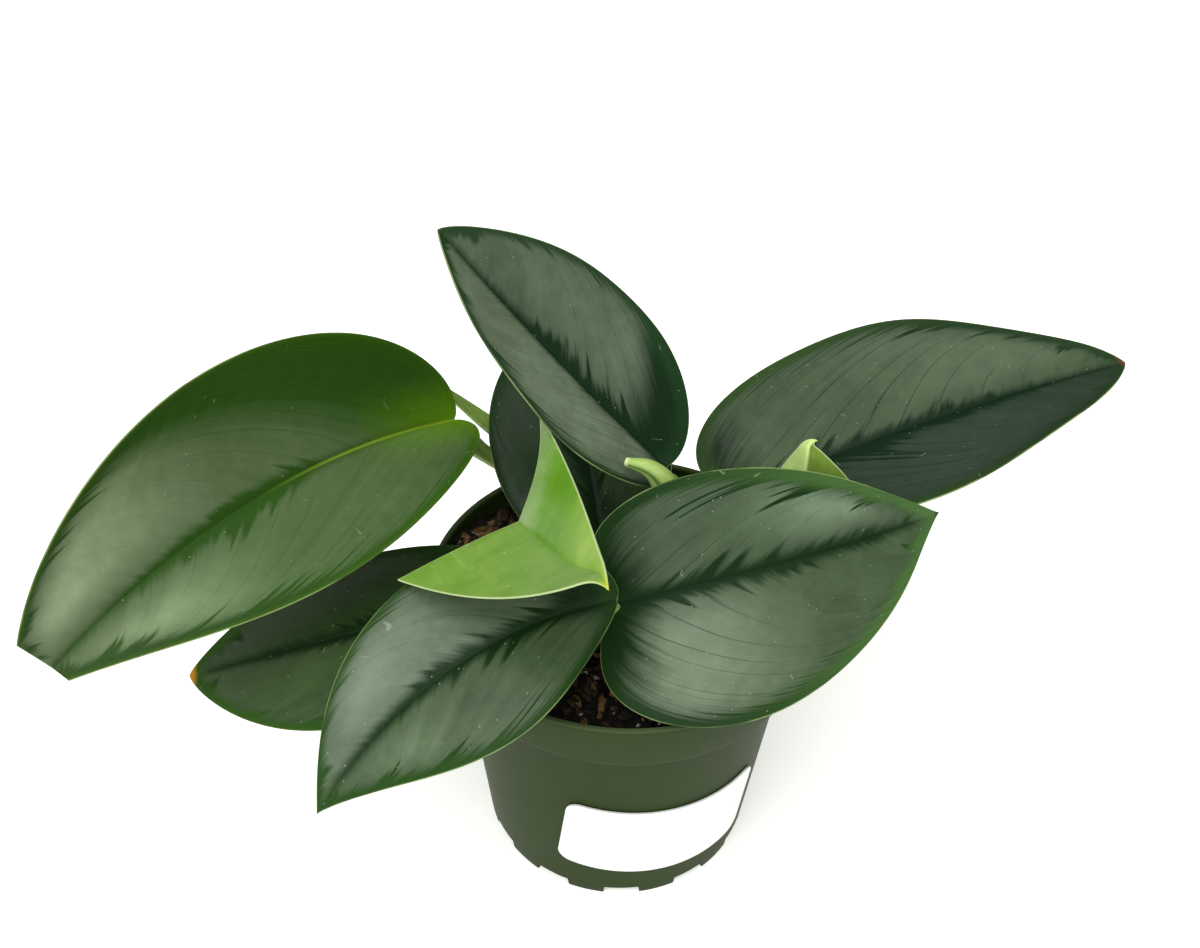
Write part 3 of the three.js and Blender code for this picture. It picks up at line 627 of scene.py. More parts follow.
class Finish:
    """The nodes of a material or of the surround, in the making."""

    def __init__(self, name, group="materials"):
        self.owner = getattr(bpy.data, group).new(name)
        self.owner.use_nodes = True
        self.tree = self.owner.node_tree
        self.tree.nodes.clear()

    def node(self, kind, inputs=None, output=0, **settings):
        """A node of a type, with its settings made first and its inputs fed after."""
        node = self.tree.nodes.new("ShaderNode" + kind)
        for name, value in settings.items():
            setattr(node, name, value)
        for name, value in (inputs or {}).items():
            feed(self.tree, node.inputs[name], value)
        return Wire(self.tree, node.outputs[output])

    def field(self, name, output="Fac"):
        """A field of the mesh by its name."""
        return self.node("Attribute", output=output, attribute_name=name)

    def place(self, *scale):
        """Object coordinates in millimetres, or times three given numbers."""
        coordinates = self.node("TexCoord", output="Object")
        return self.node("VectorMath", {0: coordinates, 1: scale or (1 / MM,) * 3}, operation="MULTIPLY")

    def height(self):
        """Height over the floor in millimetres."""
        return self.node("SeparateXYZ", {"Vector": self.place()}, "Z")

    def noise(self, scale, detail=2, rough=0.5, where=None):
        """Noise at the places given, or in the object's millimetres."""
        where = where or self.place()
        return self.node("TexNoise", {"Vector": where, "Scale": scale, "Detail": detail, "Roughness": rough}, "Fac")

    def grain(self, x, y, z, detail=2, rough=0.5):
        """Noise at a place made of three wires or numbers."""
        return self.noise(1, detail, rough, self.node("CombineXYZ", {"X": x, "Y": y, "Z": z}))

    def spots(self, scale, size, chosen, where=None):
        """Spots at scattered points: each fades in from the first size to the second, if its number is chosen."""
        inputs = {"Vector": where or self.place(), "Scale": scale}
        distance = self.node("TexVoronoi", inputs, "Distance")
        number = self.node("SeparateColor", {"Color": self.node("TexVoronoi", inputs, "Color")}, "Red")
        return distance.step(*size) * number.step(*chosen)

    def mix(self, share, first, second):
        """A colour between two colours, where three numbers from 0 to 255 are turned to linear light."""
        node = self.tree.nodes.new("ShaderNodeMix")
        node.data_type = "RGBA"
        feed(self.tree, node.inputs[0], share)
        for socket, colour in ((node.inputs[6], first), (node.inputs[7], second)):
            plain = isinstance(colour, tuple) and len(colour) == 3
            feed(self.tree, socket, linear(colour) if plain else colour)
        return Wire(self.tree, node.outputs[2])

    def layers(self, colour, *coats):
        """A colour under coats, each a share and a colour, laid on one after another."""
        for share, coat in coats:
            colour = self.mix(share, colour, coat)
        return colour

    def end(self, values, shader="BsdfPrincipled", target="Material"):
        """Ends the nodes with one shader that takes the given inputs."""
        last = self.tree.nodes.new("ShaderNodeOutput" + target)
        feed(self.tree, last.inputs["Surface"], self.node(shader, values))
        return self.owner

    def skin(self, colour, rough, relief, depth, specular, others=None):
        """Ends a material that has a relief of a depth in millimetres."""
        normal = self.node("Bump", {"Height": relief, "Distance": depth * MM})
        values = {"Base Color": colour, "Roughness": rough, "Normal": normal, "Specular IOR Level": specular}
        return self.end({**values, **(others or {})})


def pot_plastic(settings):
    """Dull dark olive plastic with faint clouds, fine upright draw lines, scuffs and a lighter lip, painted as
    highlight and wear.
    """
    finish = Finish("pot_plastic")
    cloud = finish.noise(0.05, 3)
    drawn = finish.noise(1, where=finish.place(1600, 1600, 25))
    scuff = finish.spots(1, (0.12, 0.02), (0.9, 0.95), finish.place(300, 300, 90))
    colour = finish.layers(
        scaled(settings.colour, 0.8),
        (cloud.step(0.3, 0.7) * 0.6 + drawn * 0.4, settings.colour),
        # A lighter band round the top of the lip: painted highlight along with wear.
        (finish.height().step(85.6, 86.4) * 0.55, settings.lip_highlight_and_wear_colour),
        (scuff * 0.3, settings.lip_highlight_and_wear_colour),
    )
    rough = settings.roughness + 0.1 * (cloud - 0.5) + 0.08 * drawn
    return finish.skin(colour, rough, finish.noise(2.5) + drawn * 0.5, 0.03, 0.06)


def label_film(settings):
    """White film with a faint mottle and a slightly grey cut edge."""
    finish = Finish("label_film")
    mottle = finish.noise(0.35, 3)
    colour = finish.layers(
        settings.colour,
        (mottle.step(0.3, 0.8), scaled(settings.colour, 0.985)),
        (finish.field("margin").step(0.25, 0) * 0.4, (0.6, 0.62, 0.6, 1)),
    )
    return finish.skin(colour, 0.42 + 0.15 * mottle, finish.noise(4), 0.01, 0.5)


def potting_mix(settings):
    """Damp dark crumb whose grains carry their own colour."""
    finish = Finish("potting_mix")
    crumb = finish.noise(0.9, 4, 0.7)
    fine = finish.noise(4, 3, 0.7)
    grain = finish.field("grain_colour", "Color")
    colour = finish.layers(
        scaled(settings.colour, 0.35), (crumb.step(0.3, 0.75), grain), (fine.step(0.35, 0.8) * 0.6, grain)
    )
    rough = 0.95 - 0.35 * finish.noise(0.12).step(0.55, 0.75)
    return finish.skin(colour, rough, crumb + fine * 0.6, 0.4, 0.2)


def stalk_skin(settings):
    """Olive stalk skin with lengthwise streaks, paler flecks and a browner, scarred foot."""
    finish = Finish("stalk_skin")
    streak = finish.grain(finish.field("round") * 9, finish.field("run") * 0.06, 0, 3)
    blotch = finish.noise(0.22, 3)
    fleck = finish.spots(0.9, (0.22, 0.1), (0.72, 0.8))
    colour = finish.layers(
        settings.colour,
        (streak.step(0.35, 0.75) * 0.7, scaled(settings.colour, 1.9)),
        (blotch.step(0.5, 0.75) * 0.35, settings.scar_colour),
        (fleck * 0.35, (0.5, 0.55, 0.3, 1)),
        (finish.height().step(84, 78) * 0.7, settings.scar_colour),
    )
    return finish.skin(colour, 0.38 + 0.25 * blotch, streak + 0.3 * fleck, 0.08, 0.2)


def grown_leaf_skin(name, settings, mark):
    """Silver leaf skin with a painted sheen, a dark feathered border and midrib band, side veins, pale rim, flecks
    and a brown tip.

    The fields margin and rib are distances in millimetres from the outline and the midrib, and vein is a place along
    the midrib that stays the same along each side vein, so noise stretched in it makes brushed streaks.
    """
    finish = Finish(name + "_skin")
    along, rib, margin, vein, upper, left = map(finish.field, ("along", "rib", "margin", "vein", "upper", "left"))
    length = LEAVES[name]["length"]

    def halves(pair):
        """The first number on the left half and the second on the right."""
        return pair[1] + (pair[0] - pair[1]) * left

    brush = finish.grain(vein * 0.12, rib * 0.025, 0, 4, 0.6)
    fine = finish.grain(vein * 0.8, rib * 0.08, 3, 3, 0.6)
    feather = finish.grain(vein * 0.17, rib * 0.03, 7, 4, 0.6)
    sweep = finish.grain(vein * 0.06, rib * 0.03, 11)
    cloud, mottle = finish.noise(0.05, 3), finish.noise(0.22, 4, 0.6)
    strokes, barbs = brush.step(0.46, 0.72) * along.step(0, 0.25), feather.step(0.4, 0.75)
    ragged = (feather - 0.5) * 10 + (sweep - 0.5) * 8

    border = halves(mark["border"]) * (settings.border / MM / MEAN_BORDER) * (0.3 + 0.8 * cloud)
    open_border = (margin + (fine - 0.5) * 2 - border * (0.55 + 1.5 * strokes)).step(-0.8, 1.5)
    start, end = mark["band_span"]
    span = along.step(start, start + 0.15) * along.step(end, end * 0.55)
    band = halves(mark["band"]) * span * (0.5 + 3 * barbs * sweep.step(0.35, 0.6))
    open_band = (rib + (fine - 0.5) * 1.5 - band).step(-0.8, 2.4)
    swept = halves(mark["swept"])
    from_base = along + ((vein - left * HALF_OFFSET) / length - along) * swept
    open_base = ((from_base + ragged * 0.014 - halves(mark["fan"])) / (1 + 2.5 * swept)).step(-0.03, 0.09)
    silver = open_border * open_band * open_base

    green, tints = mark["green"], mark["silver"]
    edge = finish.mix(along.step(0.15, 0.75), *mark["edge"])
    dark = finish.mix((margin + ragged * 0.3).step(6, 1.5), green, edge)
    shade = 0.1 * brush.step(0.65, 0.35) + 0.07 * fine.step(0.65, 0.35) + 0.16 * mottle.step(0.6, 0.35)
    # Shine is a painted sheen: the silver turns towards a lighter copy of itself, bright, around a share along the
    # blade.
    sheen_peak, gain = (halves(pair) for pair in zip(*mark["shine"]))
    shine = (along - sheen_peak).absolute().step(0.45, 0.05) * gain * rib.step(1, 11) * margin.step(1, 8)
    bright = finish.mix(left, *(scaled(linear(tint), 2.1, 0.08) for tint in tints[::-1]))
    pale = finish.layers(
        finish.mix(left, *tints[::-1]),
        (shade + 0.14 * cloud.step(0.6, 0.35), green),
        (shine * (0.6 + 0.8 * mottle) + 0.05 * strokes, bright),
    )

    spacing = (vein / VEIN_SPACING + (sweep - 0.5) * 1.2).fraction()
    line = (spacing - 0.5).absolute().step(0.045, 0.008) * sweep.step(0.4, 0.52) * rib.step(0.5, 2)
    strength, reach = mark["veins"]
    coats = [(silver, pale), (line * strength * along.step(reach, reach * 0.4) * margin.step(1, 6), green)]
    if mark["warm"]:
        warm = (104, 150, 16)
        near_joint = (along + (cloud - 0.5) * 0.1).step(0.3, 0) * rib.step(16, 0) * mark["warm"]
        coats += [(near_joint * 0.6, warm), (margin.step(1.4, 0.3) * 0.1 * mark["warm"], warm)]
    crease = rib.step(0.6, 0.2) * along.step(mark["rib_to"], mark["rib_to"] * 0.5)
    speck = finish.spots(0.5, (0.13, 0.05), (0.76, 0.84))
    hair = (finish.noise(0.1, 1) - 0.5).absolute().step(0.008, 0.002)
    hair = hair * finish.noise(0.3, 1, where=finish.place(700, 700, 700)).step(0.69, 0.73)
    rim = margin.step(0.22, 0.02) * (0.2 + 0.8 * cloud.step(0.42, 0.58))
    coats += [
        (crease * 0.8, mark["rib"]),
        ((speck * 0.5 + hair * 0.36) * settings.wear, (0.55, 0.6, 0.5, 1)),
        (rim * 0.7, settings.rim_colour),
    ]
    tip_colour, tip_length = mark["tip"]
    if tip_length:
        reach = tip_length / length
        withered = (along + (feather - 0.5) * reach).step(1 - reach, 1 - reach * 0.3)
        coats.append((withered * 0.9, tip_colour))

    under = finish.layers(
        (62, 88, 46),
        (brush.step(0.3, 0.7), (84, 110, 62)),
        (rib.step(1.6, 0.8), (110, 134, 74)),
        (line * 0.5, (104, 128, 72)),
    )
    colour = finish.mix(upper.step(0.3, 0.6), under, finish.layers(dark, *coats))
    rough = settings.roughness + 0.12 * silver + 0.1 * (brush - 0.5)
    relief = fine * 0.35 + brush * 0.3 - line * 0.8 - crease * 0.5
    coat = {"Coat Weight": 0.03 + silver * settings.sheen, "Coat Roughness": 0.34}
    return finish.skin(colour, rough, relief, 0.09, 0.06, coat)


def young_leaf_skin(name, settings, tint):
    """Bright soft leaf skin, each half and face in its own green, with pale streaks, painted highlight streaks, a
    pale rim and a yellow tip.

    Tint gives the colours, as said at YOUNG_TINTS.
    """
    finish = Finish(name + "_skin")
    along, rib, margin, vein, left = map(finish.field, ("along", "rib", "margin", "vein", "left"))
    upper = finish.field("upper").step(0.3, 0.6)
    brush = finish.grain(vein * 0.16, rib * 0.03, 0, 4, 0.6)
    fine = finish.grain(vein * 2.4, rib * 0.15, 2)
    streak = finish.grain(rib * 0.5, along * 2, left * 5, 3, 0.6)
    onward = along + (brush - 0.5) * 0.2
    faces = []
    for base, middle, outer, right in (tint["under"], tint["over"]):
        left_half = finish.layers(base, (onward.step(0.03, 0.2), middle), (onward.step(0.35, 0.7), outer))
        faces.append(finish.mix(left, right, left_half))
    half = finish.mix(upper, *faces)
    lighter = finish.mix(0.35, half, (196, 218, 130))
    colour = finish.layers(
        half,
        (brush.step(0.45, 0.75) * 0.25 + fine * 0.08, lighter),
        # Painted highlight: pale glints in lengthwise streaks, strongest towards the base.
        (streak.step(0.5, 0.7) * (0.2 + 0.4 * along.step(0.25, 0)), lighter),
        (finish.noise(0.12, 3).step(0.6, 0.35), finish.mix(0.25, half, (70, 128, 0))),
        (rib.step(0.6, 0.15) * (0.75 - 0.35 * upper), finish.mix(upper, *tint["rib"][::-1])),
        (finish.spots(0.3, (0.16, 0.04), (0.8, 0.88)) * 0.4 * (1 - left), (224, 234, 190)),
        (margin.step(0.28, 0.04) * 0.65, settings.rim_colour),
        (along.step(tint["tip"], tint["tip"] + 0.06) * 0.8, (196, 200, 70)),
    )
    depth = {"Subsurface Weight": 0.12, "Subsurface Radius": (0.3, 0.6, 0.1), "Subsurface Scale": 1.0 * MM}
    return finish.skin(colour, settings.roughness + 0.16 * brush, fine * 0.3 + brush * 0.3, 0.05, 0.15, depth)


def rolled_leaf_skin(settings):
    """Light yellow-green skin with painted shade in the seam where the blade laps itself, and a pale cut tip."""
    finish = Finish("rolled_leaf_skin")
    run, seam = finish.field("run"), finish.field("seam")
    streak = finish.grain(finish.field("round") * 7, run * 2, 0, 3)
    colour = finish.layers(
        settings.rolled_colour,
        (streak.step(0.3, 0.75), (178, 204, 120)),
        (finish.noise(0.3).step(0.5, 0.8) * 0.3, (120, 156, 70)),
        (run.step(0.45, 0.1) * 0.4, (96, 130, 50)),
        # Painted shade along the seam where the blade laps itself.
        (seam.step(0.5, 0.05) * 0.85 * run.step(0.3, 0.5), (62, 96, 30)),
        (run.step(0.975, 0.99), (206, 214, 160)),
    )
    return finish.skin(colour, settings.roughness + 0.12 * streak, streak, 0.08, 0.2)


def floor_paper(settings):
    """Matt near-white paper with an almost unseen tooth, lit a little from below."""
    finish = Finish("floor_paper")
    tooth = finish.noise(0.6, 3)
    return finish.end({
        "Base Color": finish.mix(tooth, scaled(settings.floor_colour, 0.985), settings.floor_colour),
        "Roughness": 0.9 + 0.05 * tooth,
        "Emission Color": settings.floor_colour,
        "Emission Strength": settings.floor_glow,
    })


# Settings
def colour_setting(name, description, default):
    """A colour that a user can pick, given as three numbers from 0 to 255."""
    return bpy.props.FloatVectorProperty(
        name=name, description=description, default=linear(default), size=4, min=0, max=1, subtype="COLOR"
    )


def length_setting(name, description, default, low, high):
    """A length in metres, given in millimetres."""
    default, low, high = default * MM, low * MM, high * MM
    return bpy.props.FloatProperty(
        name=name, description=description, default=default, min=low, max=high,
        unit="LENGTH", subtype="DISTANCE", precision=4,
    )


def share_setting(name, description, default):
    """A plain number from 0 to 1."""
    return bpy.props.FloatProperty(
        name=name, description=description, default=default, min=0, max=1, subtype="FACTOR"
    )


def strength_setting(name, description, default):
    """A plain number from 0 up."""
    return bpy.props.FloatProperty(name=name, description=description, default=default, min=0)


class PotSettings(bpy.types.PropertyGroup):
    height: length_setting("Height", "Height of the pot", 86.5, 60, 120)
    bottom_radius: length_setting("Bottom radius", "Outer radius of the foot ring", 39, 30, 60)
    top_radius: length_setting("Top radius", "Outer radius of the rim", 52, 40, 80)
    wall_thickness: length_setting("Wall thickness", "Thickness of the wall under the band", 1.4, 0.8, 3)
    notch_depth: length_setting("Notch depth", "Height of the notches in the foot ring", 3, 1, 5)
    colour: colour_setting("Colour", "Colour of the plastic", (45, 60, 25))
    # The lip band's colour is a painted highlight along with wear; the scuffs are wear.
    lip_highlight_and_wear_colour: colour_setting("Lip colour", "Colour of the worn lip and scuffs", (82, 95, 64))
    roughness: share_setting("Roughness", "Roughness of the plastic", 0.42)


class LabelSettings(bpy.types.PropertyGroup):
    width: length_setting("Width", "Width of the blank label", 56, 20, 70)
    height: length_setting("Height", "Height of the blank label", 30, 10, 40)
    corner: length_setting("Corner radius", "Radius of the label's corners", 4, 1, 8)
    thickness: length_setting("Thickness", "Thickness of the film", 0.5, 0.1, 1)
    tilt: bpy.props.FloatProperty(
        name="Tilt", description="Turn of the label on the wall", default=math.radians(-4.5), unit="ROTATION"
    )
    colour: colour_setting("Colour", "Colour of the film", (247, 248, 246))


class SoilSettings(bpy.types.PropertyGroup):
    top: length_setting("Level", "Mean height of the soil", 79.5, 60, 85)
    lump: length_setting("Lump height", "Height of the soft lumps", 0.7, 0, 3)
    grains: bpy.props.IntProperty(
        name="Grains", description="Loose chips and grains on top", default=2600, min=0, max=3000
    )
    colour: colour_setting("Colour", "Colour of the damp mix", (22, 19, 13))
    bark_colour: colour_setting("Bark colour", "Colour of the bark chips", (66, 50, 32))
    pale_colour: colour_setting("Pale grain colour", "Colour of the white grains", (196, 190, 176))


class ShootSettings(bpy.types.PropertyGroup):
    stem_radius: length_setting("Stem radius", "Radius of a stem at its foot", 3.4, 2, 6)
    stalk_radius: length_setting("Stalk radius", "Radius of a leaf stalk", 1.7, 1, 3)
    knuckle_radius: length_setting("Knuckle radius", "Radius of the swelling under a blade", 2.1, 1, 4)
    colour: colour_setting("Colour", "Colour of the stalks", (112, 140, 64))
    scar_colour: colour_setting("Scar colour", "Colour of scars and of the foot", (84, 74, 38))


class LeafSettings(bpy.types.PropertyGroup):
    thickness: length_setting("Thickness", "Thickness of a grown blade", 0.8, 0.6, 1.5)
    rib_depth: length_setting("Rib depth", "Depth of the rib under a blade at its base", 1.4, 0, 3)
    border: length_setting("Border width", "Mean width of the dark border", 3.5, 0.5, 10)
    wear: share_setting("Wear", "Strength of the flecks and scratches", 0.6)
    roughness: share_setting("Roughness", "Roughness of the dark green parts", 0.4)
    sheen: share_setting("Sheen", "Strength of the soft shine on the silver parts", 0.35)
    rim_colour: colour_setting("Rim colour", "Colour of the thin pale edge", (146, 164, 104))


class YoungLeafSettings(bpy.types.PropertyGroup):
    thickness: length_setting("Thickness", "Thickness of a young blade", 0.8, 0.6, 1.5)
    roughness: share_setting("Roughness", "Roughness of the young skin", 0.34)
    rim_colour: colour_setting("Rim colour", "Colour of the whitish edge", (206, 220, 168))
    rolled_colour: colour_setting("Rolled colour", "Colour of the rolled leaf", (150, 180, 92))


class StageSettings(bpy.types.PropertyGroup):
    floor_size: length_setting("Floor size", "Side of the square floor", 8000, 1000, 20000)
    floor_colour: colour_setting("Floor colour", "Colour of the floor", (246, 246, 242))
    floor_glow: strength_setting("Floor glow", "Light that the floor gives off", 0.4)
    key_power: strength_setting("Key light", "Strength of the front light", 1.8)
    sky_power: strength_setting("Surround", "Strength of the pale surround", 0.9)


# Pieces
def wall_radius(settings, z):
    """Outer radius of the pot's wall under its band, which widens straight from the foot to the band."""
    bottom = settings.bottom_radius / MM
    return bottom + (WALL_TOP_RADIUS - bottom) * z / BAND_BOTTOM_Z


def inner_radius(settings, z):
    """Inner radius of the pot: a wall's thickness inside, widening fast in the band up to its bend."""
    thickness = settings.wall_thickness / MM
    straight = wall_radius(settings, np.minimum(z, BAND_STEP_Z)) - thickness
    share = np.clip((z - BAND_STEP_Z) / (INNER_BEND_Z - BAND_STEP_Z), 0, 1)
    return straight + (settings.top_radius / MM - LIP_THICKNESS - straight) * share


class PLANT_OT_pot(bpy.types.Operator):
    """Makes the pot: a lathed shell with a rolled lip, a notched foot ring and six drain holes"""

    bl_idname = "plant.pot"
    bl_label = "Pot"

    def execute(self, context):
        """The profile turns round the axis; angles bunch at the notch edges, where the foot ring steps up.

        The cells of both floor faces inside a drain hole are left out, and a strip round the hole joins the faces.
        """
        settings = context.scene.plant_pot
        foot, top, height = settings.bottom_radius / MM, settings.top_radius / MM, settings.height / MM
        notch = settings.notch_depth / MM
        profile = round_profile([
            (0, 0), (PAD_RADIUS, 0), (PAD_RADIUS + 1, FLOOR_UNDER_Z),
            *((radius, FLOOR_UNDER_Z) for radius in (*HOLE_RADII, FOOT_INNER_RADIUS - 0.4)),
            (FOOT_INNER_RADIUS, 0), (foot, 0),
            *((wall_radius(settings, z), z) for z in (FOOT_TOP_Z, WALL_MIDDLE_Z, BAND_STEP_Z)),
            (top - 2, BAND_BOTTOM_Z), (top - 0.1, height - 1), (top - 0.2, height), (top - 1.5, height),
            (top - LIP_THICKNESS, height - 1),
            *((inner_radius(settings, z), z) for z in (INNER_BEND_Z, BAND_STEP_Z, FLOOR_TOP_Z)),
            *((radius, FLOOR_TOP_Z) for radius in (*HOLE_RADII[::-1], 0)),
        ], (0, 0.4, 0.4, 0, 0, 0.2, 0.2, 0.4, 0, 0, 0.7, 0.7, 0.6, 0.5, 0.5, 0.5, 2, 2, 0.8, 0, 0, 0))
        sector = np.concatenate([
            np.linspace(0.2 - NOTCH_HALF, NOTCH_HALF - 0.2, 8),
            np.linspace(NOTCH_HALF + 0.2, NOTCH_PITCH - NOTCH_HALF - 0.2, 10),
        ])
        degrees = (np.arange(0, 360, NOTCH_PITCH)[:, None] + sector).ravel() + NOTCH_TURN
        degrees = np.append(degrees, degrees[0] + 360)
        in_notch = np.abs((degrees - NOTCH_TURN + NOTCH_PITCH / 2) % NOTCH_PITCH - NOTCH_PITCH / 2) < NOTCH_HALF
        radius, z = profile.T[..., None]
        raised = (radius > FOOT_INNER_RADIUS - 0.8) & (z < notch) & in_notch
        radius = np.where(raised & (radius > foot - 0.5), wall_radius(settings, notch), radius)
        points = round_axis(radius, np.radians(degrees), np.where(raised, notch, z))
        numbers = numbered(points)

        def row_at(radius, z):
            """The row of the profile that is nearest to a radius and, above all, to a height."""
            return int(np.argmin(np.abs(profile[:, 0] - radius) + np.abs(profile[:, 1] - z) * 9))

        low, high = ([row_at(radius, z) for radius in HOLE_RADII] for z in (FLOOR_UNDER_Z, FLOOR_TOP_Z))
        middle = (degrees[:-1] + degrees[1:]) / 2
        hole = np.abs(middle % HOLE_PITCH - HOLE_PITCH / 2) < HOLE_HALF
        kept = np.ones((len(points) - 1, len(hole)), bool)
        kept[low[0] : low[1], hole] = False
        kept[high[1] : high[0], hole] = False
        triangles = [cells(numbers)[np.tile(kept.ravel(), 2)]]
        change = np.diff(np.concatenate([[0], hole, [0]]))
        for start, end in zip(np.flatnonzero(change == 1), np.flatnonzero(change == -1)):
            there = np.arange(start, end + 1)
            across = np.append(there, np.append(there[::-1], start))
            triangles.append(cells(np.stack([
                numbers[np.repeat([inner, outer, inner], [len(there), len(there), 1]), across]
                for inner, outer in (low, high)
            ])))
        triangles = np.concatenate(triangles)
        make_piece("pot_shell", points.reshape(-1, 3), triangles, pot_plastic(settings), "pot", ["pot"], crease=32)
        return {"FINISHED"}


class PLANT_OT_label(bpy.types.Operator):
    """Makes the blank label that lies on the pot's wall"""

    bl_idname = "plant.label"
    bl_label = "Blank label"

    def execute(self, context):
        """A flat sheet with round corners rolled onto the cone of the wall.

        On the unrolled cone it is a plain rectangle, so each point's distance and turn from the cone's apex give its
        height and its angle round the pot.
        """
        settings, pot = context.scene.plant_label, context.scene.plant_pot
        half_width, half_height = settings.width / MM / 2, settings.height / MM / 2
        corner = settings.corner / MM
        u = -np.cos(np.linspace(0, np.pi, 97))[None] * half_width
        in_corner = np.clip(np.abs(u) - (half_width - corner), 0, None)
        reach = half_height - corner + np.sqrt(np.clip(corner**2 - in_corner**2, 0, None))
        v = np.linspace(-1, 1, 25)[:, None] * reach
        across = u * math.cos(settings.tilt) - v * math.sin(settings.tilt)
        up = u * math.sin(settings.tilt) + v * math.cos(settings.tilt)
        slope = math.atan((WALL_TOP_RADIUS - pot.bottom_radius / MM) / BAND_BOTTOM_Z)
        apex = wall_radius(pot, LABEL_CENTRE_Z) / math.sin(slope)
        reached = np.hypot(across, apex + up)
        angle = math.radians(LABEL_CENTRE_ANGLE) + np.arctan2(across, apex + up) / math.sin(slope)
        z = LABEL_CENTRE_Z + (reached - apex) * math.cos(slope)
        lifts = (LABEL_CLEARANCE + settings.thickness / MM, LABEL_CLEARANCE)
        sheet = closed_sheet(*(round_axis(reached * math.sin(slope) + lift, angle, z) for lift in lifts))
        margin = np.minimum(reach - np.abs(v), half_width - np.abs(u))
        field = {"margin": np.tile(margin.ravel(), 2)}
        make_piece("blank_label", *sheet, label_film(settings), "label", ["label"], field, crease=40)
        return {"FINISHED"}


